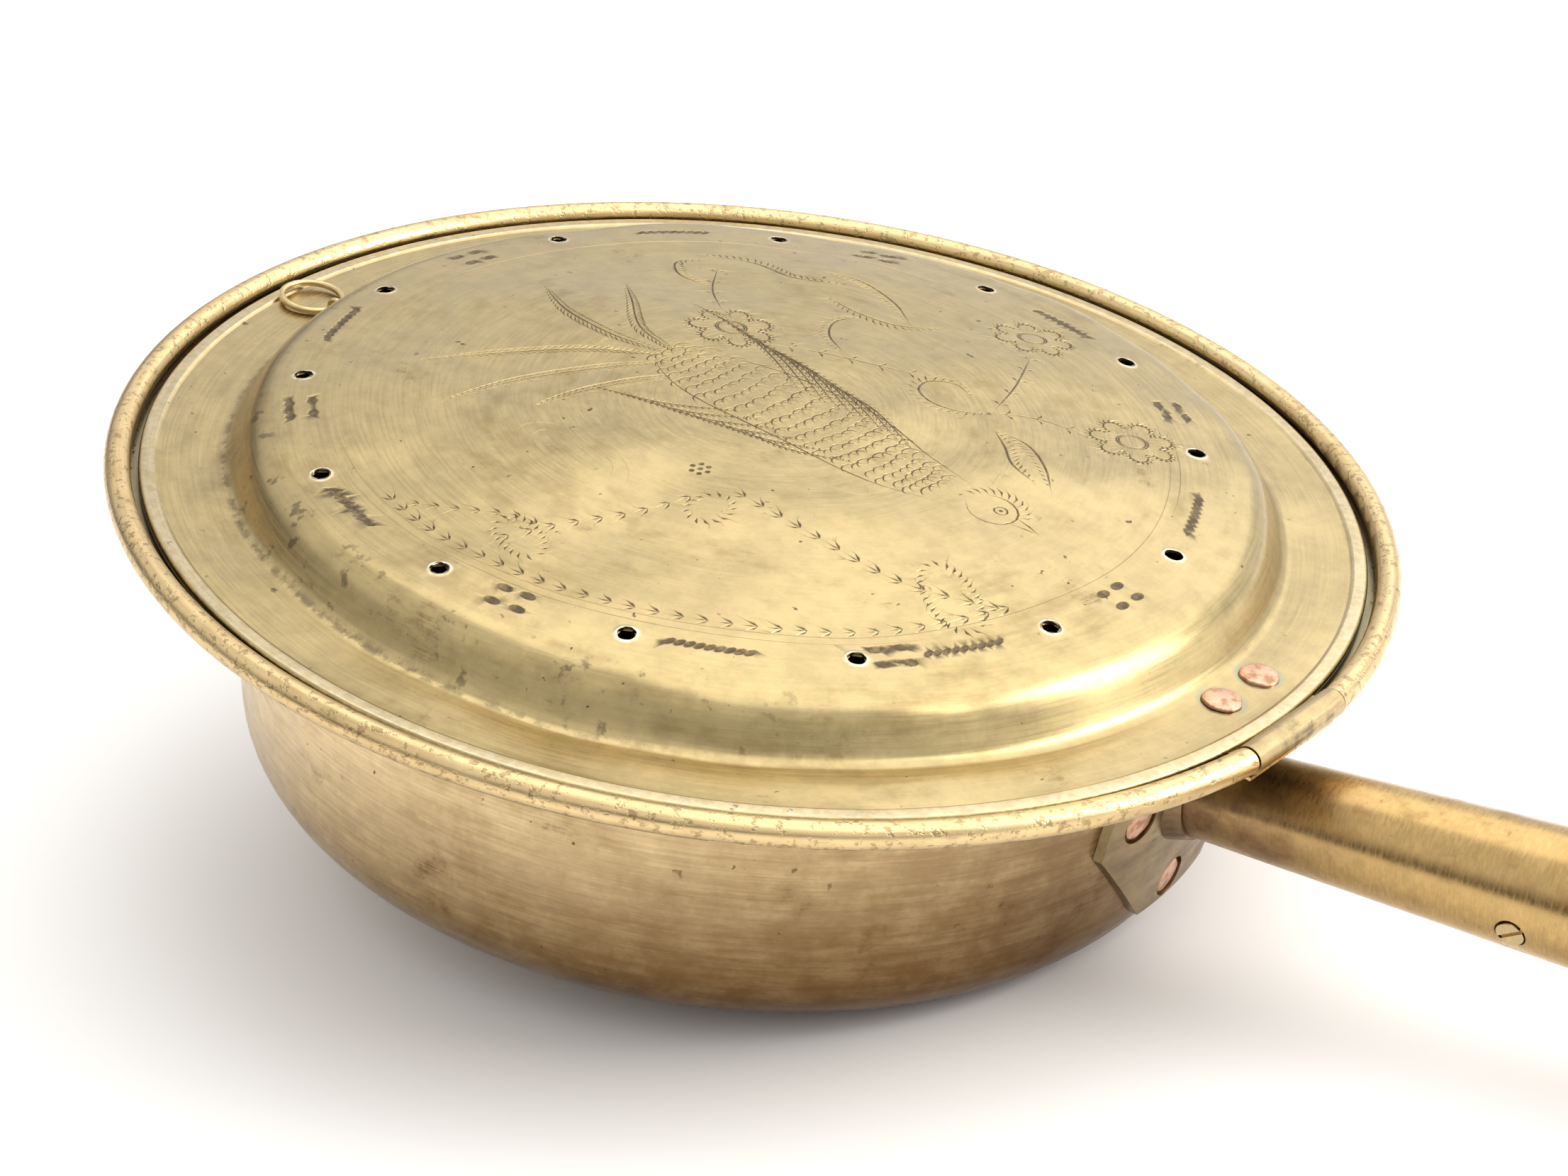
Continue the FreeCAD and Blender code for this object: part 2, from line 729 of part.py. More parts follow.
def make_socket_collar():
    """Flared collar brazed round the socket where it meets the plate."""
    flare = primitive("Cone", "collar_flare", socket_place(value("collar_start")),
                      Radius1="collar_base_radius", Radius2="collar_neck_radius",
                      Height="collar_end - collar_start")
    tube = socket_cone("collar_bore", "0", "collar_start - 1", "collar_end + 1")
    return cut("socket_collar", flare, tube, wall_cone("collar_seat", PLATE_OFFSET))


def make_mouth_ring():
    """Half-round ring that stiffens the socket's mouth."""
    station = "(socket_mouth - mouth_ring_wire)"
    ring = primitive("Torus", "mouth_ring_blank", socket_place(value(station)),
                     Radius1=f"socket_radius + socket_taper * {station} + mouth_ring_wire / 3",
                     Radius2="mouth_ring_wire")
    tube = socket_cone("mouth_ring_bore", "0", "socket_mouth - 8", "socket_mouth + 4")
    return cut("socket_mouth_ring", ring, tube)


def screw_place():
    """On the socket's skin at the screw, with local Z pointing out."""
    outer = value("socket_radius + socket_taper * screw_station")
    return socket_place(value("screw_station")) * turn(Z, 90 + SCREW_ROLL) * move(outer) * turn(Y, 90)


def make_socket_screw():
    """Slotted screw through the socket into the handle's tenon."""
    head = primitive("Cylinder", "screw_head_blank", screw_place() * move(
        up=-value("screw_head_height")), Radius="screw_head", Height="screw_head_height + 0.2")
    shank = primitive("Cylinder", "screw_shank_blank", screw_place() * move(
        up=-value("screw_length")), Radius="screw_shank", Height="screw_length - 0.5")
    reach = value("screw_head") + 1
    slot = primitive("Box", "screw_slot", screw_place() * turn(Z, 35) * move(
        -reach, -value("screw_slot_width") / 2, 0.2 - value("screw_slot_depth")),
        Length=str(2 * reach), Width="screw_slot_width", Height="2 * screw_slot_depth")
    return cut("socket_screw", fuse("screw_blank", head, shank), slot)


# Handle -----------------------------------------------------------------------

def make_wooden_handle():
    """Turned handle: tenon, bead, cove, ring bead, long grip, neck and pommel."""
    body = add_body("handle_turning")
    section = add_sketch(body, "XZ_Plane")

    def tenon(station):
        inner = "socket_radius - socket_thickness - tenon_clearance"
        return f"{inner} + socket_taper * {station}"

    mouth = "(socket_mouth + 0.1)"
    cove = f"({mouth} + bead_length)"
    ring_bead = f"({cove} + cove_length)"
    grip = f"({ring_bead} + ring_bead_length)"
    lip = "(socket_radius + socket_taper * socket_mouth)"
    end_radius = "sqrt(pommel_radius^2 - (handle_end - pommel_station)^2)"
    neck_end = "(pommel_station - sqrt(pommel_radius^2 - neck_radius^2))"
    draw_outline(section, [
        ("0", "tenon_start"),
        (tenon("tenon_start"), "tenon_start"),
        (tenon("socket_mouth"), mouth),
        (lip, mouth),
        ("cove_radius", cove),
        ("ring_bead_radius - 1", ring_bead),
        ("grip_start_radius", grip),
        ("neck_radius", "neck_station"),
        ("neck_radius", neck_end),
        (end_radius, "handle_end"),
        ("0", "handle_end"),
    ], arcs={
        3: ("bead_length * 0.62", True),
        4: ("cove_length * 0.9", False),
        5: ("ring_bead_length * 0.62", True),
        6: ("grip_bow", True),
        8: ("pommel_radius", True),
    })
    revolve(body, section)
    body.Placement = socket_place()
    depth = value("screw_length")
    bore = primitive("Cylinder", "handle_screw_bore", screw_place() * move(up=-depth),
                     Radius="screw_shank", Height="screw_length")
    seat = primitive("Cylinder", "handle_screw_seat", screw_place() * move(
        up=-value("screw_head_height")), Radius="screw_hole", Height="6")
    eye_bore = primitive("Cylinder", "handle_eye_bore", socket_place(
        value("handle_end - hang_eye_shank")), Radius="hang_eye_wire", Height="hang_eye_shank + 1")
    return cut("wooden_handle", body, bore, seat, eye_bore)


def hang_eye_station():
    """Where the centre of the hanging eye stands on the handle's axis."""
    return value("handle_end + hang_eye_radius + hang_eye_wire")


def make_hanging_eye():
    """Screw eye in the end of the handle."""
    ring = primitive("Torus", "hanging_eye_ring", socket_place(hang_eye_station()) * turn(X, 90),
                     Radius1="hang_eye_radius", Radius2="hang_eye_wire")
    shank = primitive("Cylinder", "hanging_eye_shank", socket_place(
        value("handle_end - hang_eye_shank")), Radius="hang_eye_wire",
        Height="hang_eye_shank + hang_eye_wire")
    return fuse("hanging_eye", ring, shank)


def hang_pivot():
    """Where the hanging ring turns in its eye, on the socket's axis."""
    play = value("hang_eye_radius - hang_eye_wire - hang_ring_wire - hang_ring_play")
    return socket_place(hang_eye_station() + play)


def make_hanging_ring(tilt, lift):
    """Ring that hangs the pan up, drawn lying against the table."""
    pivot = hang_pivot()
    height = (lift * turn(Y, tilt)).multVec(pivot.Base).z
    drop = (height - value("hang_ring_wire") - FLOOR_GAP) / value("2 * hang_ring_radius")
    slope = math.degrees(math.asin(drop)) - tilt
    place = move(*pivot.Base) * turn(Y, slope) * move(value("hang_ring_radius"))
    return primitive("Torus", "hanging_ring", place, Radius1="hang_ring_radius",
                     Radius2="hang_ring_wire")


# The way the pan stands -------------------------------------------------------

def standing():
    """Lean and lift that put the base's corner and the pommel on the table."""
    corner = value("base_corner")
    lean = math.radians(value("wall_lean"))
    base = Vector(value(WALL_BASE_RADIUS) + corner * (math.tan(lean) - 1 / math.cos(lean)), 0, corner)
    pommel = socket_place(value("pommel_station")).Base
    span = pommel - base
    length = math.hypot(span.x, span.z)
    tilt = math.degrees(math.atan2(span.z, span.x)
                        + math.asin((corner - value("pommel_radius")) / length))
    lift = corner - turn(Y, tilt).multVec(base).z
    return tilt, move(up=lift)


def main():
    tilt, lift = standing()
    pieces = {
        "pan_bowl": make_pan_bowl(shank_tools("bowl")),
        "rim_wire": make_rim_wire(),
        "handle_plate": make_handle_plate(shank_tools("plate") + well_tools()),
        "socket_collar": make_socket_collar(),
        "socket_tube": make_socket_tube(),
        "socket_mouth_ring": make_mouth_ring(),
        "socket_screw": make_socket_screw(),
        "wooden_handle": make_wooden_handle(),
        "hanging_eye": make_hanging_eye(),
        "hanging_ring": make_hanging_ring(tilt, lift),
        "lid_cover": make_lid_cover(),
        "hinge_strap": make_hinge_strap(),
        "ring_eye": make_ring_eye(),
        "lift_ring": make_lift_ring(),
    }
    pieces.update(make_plate_rivets())
    pieces.update(make_strap_rivets())
    doc.recompute()

    stand = lift * turn(Y, tilt)
    for piece in pieces.values():
        piece.Placement = stand * piece.Placement
    doc.recompute()
    boxes = [piece.Shape.optimalBoundingBox(False) for piece in pieces.values()]
    middle = (min(box.XMin for box in boxes) + max(box.XMax for box in boxes)) / 2
    for piece in pieces.values():
        piece.Placement = move(-middle) * piece.Placement
    doc.recompute()

    for item in doc.Objects:
        if {"Invalid", "Error"} & set(item.State):
            raise RuntimeError(f"{item.Label} has not been worked out: {item.State}")
    for label, piece in pieces.items():
        if piece.Shape.isNull() or not piece.Shape.isValid():
            raise RuntimeError(f"{label} has no valid shape")
        if len(piece.Shape.Solids) != 1:
            raise RuntimeError(f"{label} is {len(piece.Shape.Solids)} solids")

    os.makedirs("parts", exist_ok=True)
    for label, piece in pieces.items():
        piece.Shape.exportStep(f"parts/{label}.step")
        print(f"{label:20s} {piece.Shape.Volume / 1000:9.3f} cm3")
    pan = move(-middle) * stand
    for name, point in (("underside", Vector()), ("hinge", lid_place().multVec(Vector(
            value(HINGE_X), 0, value("rim_height")))), ("lift ring", ring_pivot().Base),
            ("hanging ring", hang_pivot().Base)):
        print(name, [round(number, 4) for number in pan.multVec(point)])
    print("tilt", round(tilt, 4), "underside faces",
          [round(number, 5) for number in pan.Rotation.multVec(Z * -1)])
    print("hinge axis", [round(number, 5) for number in (pan * lid_place()).Rotation.multVec(Y)])


main()
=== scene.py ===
import json
import random
from math import asin, ceil, cos, dist, exp, pi, radians, sin, sqrt, tan

import bmesh
import bpy
import numpy as np
from mathutils import Matrix, Vector
from mathutils.geometry import delaunay_2d_cdt


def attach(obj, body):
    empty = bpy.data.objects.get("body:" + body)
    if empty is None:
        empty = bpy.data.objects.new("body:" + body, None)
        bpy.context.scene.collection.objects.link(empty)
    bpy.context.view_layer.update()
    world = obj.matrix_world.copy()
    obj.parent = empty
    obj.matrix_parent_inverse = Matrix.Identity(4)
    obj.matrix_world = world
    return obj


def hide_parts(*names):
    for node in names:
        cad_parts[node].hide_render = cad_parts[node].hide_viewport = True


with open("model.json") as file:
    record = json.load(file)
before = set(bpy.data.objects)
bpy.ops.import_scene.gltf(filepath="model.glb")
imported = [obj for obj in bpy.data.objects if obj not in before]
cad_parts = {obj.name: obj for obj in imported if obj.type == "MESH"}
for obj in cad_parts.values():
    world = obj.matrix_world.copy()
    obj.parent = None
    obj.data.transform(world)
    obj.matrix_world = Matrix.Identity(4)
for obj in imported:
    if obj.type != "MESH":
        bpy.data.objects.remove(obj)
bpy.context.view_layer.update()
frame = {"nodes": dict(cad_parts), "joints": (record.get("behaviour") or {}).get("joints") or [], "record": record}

MM = 0.001
SIDE = Vector((0, 1, 0))

# Driving sizes of the lid's sheet, in millimetres, heights from the pan's underside
RIM_HEIGHT = 76.5
CROWN_RISE = 20.5
CROWN_CURVE = 830.0
SHEET = 0.7
SHOULDER_RADIUS = 118.5
SHOULDER_ROUND = 9.0
DOME_SIDE = radians(61)
BASE_ROUND = 4.0
FLANGE_TOP = RIM_HEIGHT + 0.3
HEM_INNER = 141.0
LID_RADIUS = 145.2
HEM_TOP = RIM_HEIGHT + 0.8
HEM_UNDER = RIM_HEIGHT - 1.9
HEM_ROUND = 1.1
STRAP_CUT = 18.2
TWIST = 2.7                     # degrees from the hinge's line round to the decoration's
VENT_CIRCLE = 106.4
VENT_RADIUS = 2.15
VENT_ANGLES = (-143, -117, -90.5, -65.5, -39, -13.5, 13, 41.5, 67.5, 94.5, 125.5, 157.5, 188.5)
BORDER = Vector((-3.22, -0.35))
CROWN_EDGE = 113.4
UNDER_EDGE = 113.0
CREASE_RADIUS = 125.6

# Sizes of the socket and of the plate on the wall, in the pan's frame
SOCKET_AXIS_AT = (142.7, -7.0, RIM_HEIGHT - 27.5)
SOCKET_PITCH = 6.615
WALL_LEAN = radians(6.2)
PLATE_FACE = 126.0 - 73.4 * tan(WALL_LEAN) + 2.2 / cos(WALL_LEAN)
PLATE_WELL = 1.2

# Rivets: radius of the head, grip and height of the tail by body, other sizes, and where they stand
RIVET_SIZES = {"lid": (4.75, SHEET + 1.0, 0.4), "pan": (4.6, 2.2 - PLATE_WELL + 0.85, 0.6)}
RIVET_RISE = 1.1
RIVET_SHANK = 2.0
RIVET_TAIL = 3.4
LID_RIVETS = {"hinge_rivet_left": (132.0, 13.9), "hinge_rivet_right": (132.0, -1.5)}
PLATE_RIVETS = {"plate_rivet_left": (28.0, 46.0), "plate_rivet_right": (-28.0, 46.0),
                "plate_rivet_bottom": (-5.0, 20.0)}


# ---- places

def place(origin, along, across, up):
    """Matrix from a sub-part's millimetres to the row frame's metres."""
    turned = Matrix((along, across, up)).transposed().to_4x4()
    return Matrix.Translation(origin) @ turned @ Matrix.Scale(MM, 4)


def named(rows):
    """Rows of a list by their names."""
    return {row["name"]: row for row in rows}


underside = named(frame["record"]["mounts"])["pan_underside"]
hinge_line = Vector(named(frame["joints"])["lid_hinge"]["axis"]).normalized()
upright = -Vector(underside["axis"]).normalized()
pan_origin = Vector(underside["pos_m"])
hinge_line = (hinge_line - upright * hinge_line.dot(upright)).normalized()
PAN = place(pan_origin, SIDE.cross(upright), SIDE, upright)
HINGE = place(pan_origin, hinge_line.cross(upright), hinge_line, upright)
LID = HINGE @ Matrix.Rotation(radians(TWIST), 4, "Z")
pitch = radians(SOCKET_PITCH)
socket_line = PAN.to_3x3() @ Vector((cos(pitch), 0, sin(pitch)))
socket_line.normalize()
socket_start = PAN @ Vector(SOCKET_AXIS_AT)
SOCKET = place(socket_start, socket_line.cross(SIDE) * -1, SIDE, socket_line)


# ---- surface of the lid

def wave_field(seed, count, longest, height):
    """Plane waves that add up to the unevenness of beaten sheet."""
    draw = random.Random(seed)
    waves = []
    for _ in range(count):
        length = longest * draw.uniform(0.3, 1.0)
        turn = draw.uniform(0, 2 * pi)
        size = height * length / longest / sqrt(count)
        number = 2 * pi / length
        waves.append((number * cos(turn), number * sin(turn), draw.uniform(0, 2 * pi), size))
    return waves


WAVES = wave_field(seed=7, count=22, longest=78, height=0.62)
# Dents in the dome: azimuth in degrees, radius, spread and depth in millimetres
DENTS = ((-33, 117.5, 6.5, 1.1), (-27, 113, 9, 0.5), (-118, 118, 9, 0.45), (60, 117, 10, 0.5),
         (150, 116, 8, 0.5), (-80, 121, 7, 0.35), (8, 119, 8, 0.5))


def unevenness(x, y):
    """Height added to the sheet at plan points, and its slopes along x and y."""
    height, slope_x, slope_y = np.zeros_like(x), np.zeros_like(x), np.zeros_like(x)
    for number_x, number_y, phase, size in WAVES:
        angle = number_x * x + number_y * y + phase
        height += size * np.sin(angle)
        slope_x += size * number_x * np.cos(angle)
        slope_y += size * number_y * np.cos(angle)
    for azimuth, radius, spread, depth in DENTS:
        away_x = x - radius * cos(radians(azimuth))
        away_y = y - radius * sin(radians(azimuth))
        pressed = depth * np.exp(-(away_x ** 2 + away_y ** 2) / (2 * spread ** 2))
        height -= pressed
        slope_x += pressed * away_x / spread ** 2
        slope_y += pressed * away_y / spread ** 2
    return height, slope_x, slope_y


def crown_height(radius, curve=CROWN_CURVE):
    """Height of the dome's crown, or of its underside with the smaller curve."""
    return RIM_HEIGHT + CROWN_RISE - CROWN_CURVE + np.sqrt(curve ** 2 - radius ** 2)


def rounded(corners, steps=7):
    """Outline through (radius, height, rounding) corners."""
    outline = [corners[0][:2]]
    for before, corner, after in zip(corners, corners[1:], corners[2:]):
        here = Vector(corner[:2])
        back = (Vector(before[:2]) - here).normalized()
        on = (Vector(after[:2]) - here).normalized()
        if not corner[2]:
            outline.append(tuple(here))
            continue
        half = back.angle(on) / 2
        middle = here + (back + on).normalized() * corner[2] / sin(half)
        start = here + back * corner[2] / tan(half) - middle
        end = here + on * corner[2] / tan(half) - middle
        sweep = start.angle_signed(end)
        for step in range(steps + 1):
            outline.append(tuple(middle + Matrix.Rotation(-sweep * step / steps, 2) @ start))
    outline.append(corners[-1][:2])
    return outline


def divided(outline, longest):
    """The same outline with its long runs cut into short ones."""
    fine = [outline[0]]
    for start, end in zip(outline, outline[1:]):
        parts = max(1, ceil(dist(start, end) / longest))
        for part in range(1, parts + 1):
            fine.append(tuple(a + (b - a) * part / parts for a, b in zip(start, end)))
    return fine


def lid_outline():
    """Section of the sheet from the crown round the hem to the crown's underside."""
    under = FLANGE_TOP - SHEET
    inset = SHEET * tan(DOME_SIDE / 2)
    inner_curve = CROWN_CURVE - SHEET
    top = crown_height(SHOULDER_RADIUS)
    base = SHOULDER_RADIUS + (top - FLANGE_TOP) / tan(DOME_SIDE)
    inner = SHOULDER_RADIUS - inset
    return divided(rounded([
        (CROWN_EDGE, crown_height(CROWN_EDGE), 0),
        (SHOULDER_RADIUS, top, SHOULDER_ROUND),
        (base, FLANGE_TOP, BASE_ROUND),
        (HEM_INNER, FLANGE_TOP, 0.5),
        (HEM_INNER + 0.8, HEM_TOP, 0.5),
        (LID_RADIUS, HEM_TOP, HEM_ROUND),
        (LID_RADIUS, HEM_UNDER, HEM_ROUND),
        (HEM_INNER, HEM_UNDER, 0),
        (HEM_INNER, under, 0),
        (base - inset, under, BASE_ROUND + SHEET),
        (inner, crown_height(inner, inner_curve), SHOULDER_ROUND - SHEET),
        (UNDER_EDGE, crown_height(UNDER_EDGE, inner_curve), 0),
    ]), longest=2.4)


# ---- engraving

class Engraving:
    """Grooves and pits cut in the crown, in plan."""

    def __init__(self):
        self.grooves = []
        self.pits = []

    def groove(self, points, width=0.6, depth=0.18, tapered=True):
        """A cut with a V section along a polyline."""
        points = np.array(points, float)
        steps = np.linspace(0, 1, len(points))
        shape = np.sin(np.pi * np.clip(steps, 0.02, 0.98)) ** 0.5 if tapered else np.ones(len(steps))
        self.grooves.append((points, shape * width * 0.62, shape * depth * 1.15))

    def pit(self, centre, half_length, half_width, turn, depth):
        """A round-bottomed dimple left by a punch."""
        self.pits.append((np.array(centre, float), half_length, half_width, turn, depth))

    def depth(self, x, y):
        """Depth of the cuts at plan points."""
        result = np.zeros_like(x)
        spread = 4.0
        cells = {}
        for points, halves, depths in self.grooves:
            pairs = [pair for row in (halves, depths) for pair in (row, row[1:])]
            for start, end, *sizes in zip(points, points[1:], *pairs):
                segment = (*start, *end, *sizes)
                low = np.floor(np.minimum(start, end) / spread - 0.3)
                high = np.floor(np.maximum(start, end) / spread + 0.3)
                for column in range(int(low[0]), int(high[0]) + 1):
                    for row in range(int(low[1]), int(high[1]) + 1):
                        cells.setdefault((column, row), []).append(segment)
        keys = np.stack([np.floor(x / spread), np.floor(y / spread)], 1).astype(int)
        order = np.lexsort((keys[:, 1], keys[:, 0]))
        breaks = np.flatnonzero(np.any(np.diff(keys[order], axis=0), axis=1)) + 1
        for group in np.split(order, breaks):
            segments = cells.get(tuple(keys[group[0]]))
            if segments is None:
                continue
            ax, ay, bx, by, wide_a, wide_b, deep_a, deep_b = np.array(segments).T[:, :, None]
            px, py = x[group][None], y[group][None]
            square = (bx - ax) ** 2 + (by - ay) ** 2 + 1e-12
            share = np.clip(((px - ax) * (bx - ax) + (py - ay) * (by - ay)) / square, 0, 1)
            away = np.hypot(px - ax - share * (bx - ax), py - ay - share * (by - ay))
            wide = wide_a + share * (wide_b - wide_a)
            deep = (deep_a + share * (deep_b - deep_a)) * np.clip(1 - away / wide, 0, 1)
            result[group] = np.maximum(result[group], deep.max(0))
        for centre, half_length, half_width, turn, deep in self.pits:
            dx, dy = x - centre[0], y - centre[1]
            along = (dx * cos(turn) + dy * sin(turn)) / half_length
            across = (dy * cos(turn) - dx * sin(turn)) / half_width
            bowl = deep * np.clip(1 - along ** 2 - across ** 2, 0, 1)
            result = np.maximum(result, bowl)
        return result


def smooth(points, steps=4):
    """A curve through given points."""
    points = [Vector(point) for point in points]
    padded = [points[0] * 2 - points[1], *points, points[-1] * 2 - points[-2]]
    curve = []
    for first, start, end, last in zip(padded, padded[1:], padded[2:], padded[3:]):
        for step in range(steps):
            t = step / steps
            curve.append((start * 2 + (end - first) * t
                          + (first * 2 - start * 5 + end * 4 - last) * t ** 2
                          + (start * 3 - first - end * 3 + last) * t ** 3) / 2)
    return curve + [points[-1]]


def polar(radius, degrees):
    """Plan point at a radius and an azimuth from the hinge."""
    turn = radians(degrees)
    return Vector((radius * cos(turn), radius * sin(turn)))


def vent_centres():
    """Plan points of the vents, which stand on a circle of their own."""
    return [BORDER + polar(VENT_CIRCLE, azimuth - TWIST) for azimuth in VENT_ANGLES]


def ring(centre, radius, steps=20, squeeze=1.0, turn=0.0):
    """Closed polyline round an ellipse."""
    angles = (2 * pi * step / steps for step in range(steps + 1))
    return [Vector(centre) + Matrix.Rotation(-turn, 2) @ Vector((radius * cos(a), radius * squeeze * sin(a)))
            for a in angles]


def evenly(points, gap):
    """Evenly spaced points on a polyline, each with the direction there."""
    walked = 0.0
    wanted = gap / 2
    for start, end in zip(points, points[1:]):
        length = (end - start).length
        while length and wanted <= walked + length:
            yield start.lerp(end, (wanted - walked) / length), (end - start) / length
            wanted += gap
        walked += length


def turned(way, degrees):
    """A plan direction turned anticlockwise."""
    angle = radians(degrees)
    return Vector((way.x * cos(angle) - way.y * sin(angle), way.x * sin(angle) + way.y * cos(angle)))


def chain(work, points, gap=5.3, size=1.0):
    """Arrow-shaped punch marks one after another along a line."""
    for centre, way in evenly(points, gap):
        tip = centre + way * 1.5 * size
        for side in (145, -145):
            leg = turned(way, side)
            bend = tip + leg * 1.5 * size + way * 0.3 * size
            work.groove([tip, bend, tip + leg * 3.0 * size], 0.68 * size, 0.24)
        work.groove([centre - way * 1.9 * size, centre, tip], 0.42 * size, 0.17)


def feather(work, spine, reach, sides, gap, lean, width):
    """A curved spine with a comb of short cuts that lean back along it."""
    points = smooth(spine, 5)
    length = sum((b - a).length for a, b in zip(points, points[1:]))
    work.groove(points, width * 1.3, 0.17)
    walked = gap / 2
    for centre, way in evenly(points, gap):
        swell = sin(pi * min(1.0, walked / length)) ** 0.6
        for side in sides:
            out = turned(way, side * lean)
            tip = centre + out * reach * swell
            belly = (centre + tip) / 2 + turned(way, side * 90) * reach * swell * 0.12
            work.groove([centre, belly, tip], width, 0.17)
        walked += gap


def flower(work, centre, radius, petals, turn):
    """Rosette: ringed eye, hatched ground and round petals with toothed edges."""
    centre = Vector(centre)
    for share in (0.29, 0.34):
        work.groove(ring(centre, radius * share, 18), 0.5, 0.16, tapered=False)
    for stroke in range(28):
        azimuth = turn + 360 * stroke / 28
        start = centre + polar(radius * 0.38, azimuth)
        work.groove([start, start + polar(radius * (0.16 + 0.06 * (stroke % 2)), azimuth + 6)], 0.62, 0.19)
    for petal in range(petals):
        azimuth = turn + 360 * petal / petals
        middle = centre + polar(radius * 0.7, azimuth)
        edge = [middle + polar(radius * 0.2, azimuth + angle) for angle in range(-130, 131, 26)]
        work.groove(edge, 0.6, 0.2)
        for angle in range(-120, 121, 24):
            outward = polar(1, azimuth + angle)
            start = middle + outward * radius * 0.2
            bend = turned(outward, 40) * radius * 0.07
            work.groove([start, start + bend, start + outward * radius * 0.13], 0.8, 0.24)
        for angle in (-30, 0, 30):
            start = centre + polar(radius * 0.58, azimuth + angle * 0.5)
            work.groove([start, start + polar(radius * 0.16, azimuth)], 0.55, 0.16)


def bird_body(share):
    """Centre, direction and half width of the bird's body, from tail to neck."""
    line = smooth([(-34, 4), (-14, 2), (14, 1), (38, -2), (57, -1)], 8)
    place_on = share * (len(line) - 1)
    index = min(int(place_on), len(line) - 2)
    centre = line[index].lerp(line[index + 1], place_on - index)
    way = (line[index + 1] - line[index]).normalized()
    return centre, way, 3.2 + 10.2 * sin(pi * share ** 0.8) ** 0.9 + 1.6 * share


def bird(work, draw):
    """A plain folk bird in flight, with a scaled body and long plumes."""
    for side in (1, -1):
        outline = []
        for step in range(25):
            centre, way, half = bird_body(step / 24)
            outline.append(centre + turned(way, 90) * side * half)
        work.groove(outline, 0.55, 0.16)
    for row in range(22):
        centre, way, half = bird_body(0.04 + row * 0.042)
        across = turned(way, 90)
        lanes = max(1, round(half / 3.1))
        for lane in range(-lanes, lanes + 1):
            shift = (lane + 0.5 * (row % 2)) / (lanes + 0.55)
            if abs(shift) > 0.95:
                continue
            bend = way * -1.6 * shift ** 2
            middle = centre + across * half * shift + bend
            size = draw.uniform(1.9, 2.9)
            lean = -14 * shift + draw.uniform(-14, 14)
            scale = [middle + turned(way, angle + lean) * size for angle in range(95, 266, 19)]
            work.groove(scale, draw.uniform(0.42, 0.6), 0.17)
            for fan in (-34, -17, 0, 17, 34):
                barb = turned(way, 180 + lean + fan)
                start = middle + barb * draw.uniform(0.2, 0.7)
                work.groove([start, start + barb * (size - 0.9)], 0.4, 0.14)
    for lane in range(9):
        start = Vector((36 - lane * 4.4, 7.5 + lane * 0.4))
        tip = Vector((-6 - lane * 5.2, 19 + lane * 1.7))
        belly = (start + tip) / 2 + Vector((1.5, 3.4))
        feather(work, [start, belly, tip], 1.9, (1, -1), 1.9, 145, 0.4)
    for lane in range(6):
        start = Vector((30 - lane * 6.5, -8.5 - lane * 0.2))
        tip = Vector((2 - lane * 7.5, -17 - lane * 1.2))
        belly = (start + tip) / 2 + Vector((1.0, -2.6))
        feather(work, [start, belly, tip], 1.9, (1, -1), 1.5, 145, 0.44)
    head = Vector((64, -0.5))
    work.groove([head + polar(6.0, angle) for angle in range(-150, 151, 20)], 0.5, 0.16)
    work.groove(ring(head + Vector((1.5, 1.2)), 1.6, 12), 0.42, 0.15, tapered=False)
    work.pit(head + Vector((1.5, 1.2)), 0.6, 0.6, 0, 0.16)
    for height in (1.6, -1.8):
        work.groove([head + Vector((5.6, height)), head + Vector((9.5, height * 0.5)),
                     head + Vector((13, -0.4))], 0.6, 0.18)
    for angle in range(20, 171, 14):
        start = head + polar(6.5, angle)
        work.groove([start, start + polar(1.8, angle + 20), start + polar(3.4, angle + 38)], 0.55, 0.18)
    for reach in range(3, 13, 2):
        for lean in (-52, 0, 52):
            start = Vector((58 - reach * 0.55, 0)) + polar(reach * 0.3, lean - 150)
            work.groove([start, start + polar(1.7, 160 + lean * 0.3)], 0.36, 0.1)
    plumes = (((-32, 5), (-46, 10), (-58, 22), (-66, 30)), ((-34, 3), (-50, 2), (-66, 6), (-80, 15)),
              ((-34, 1), (-48, -8), (-62, -22), (-74, -38)), ((-30, -1), (-40, -14), (-50, -32), (-56, -50)),
              ((-24, -5), (-30, -16), (-35, -28), (-38, -40)))
    for plume in plumes:
        feather(work, plume, 4.6, (1, -1), 1.6, 155, 0.38)


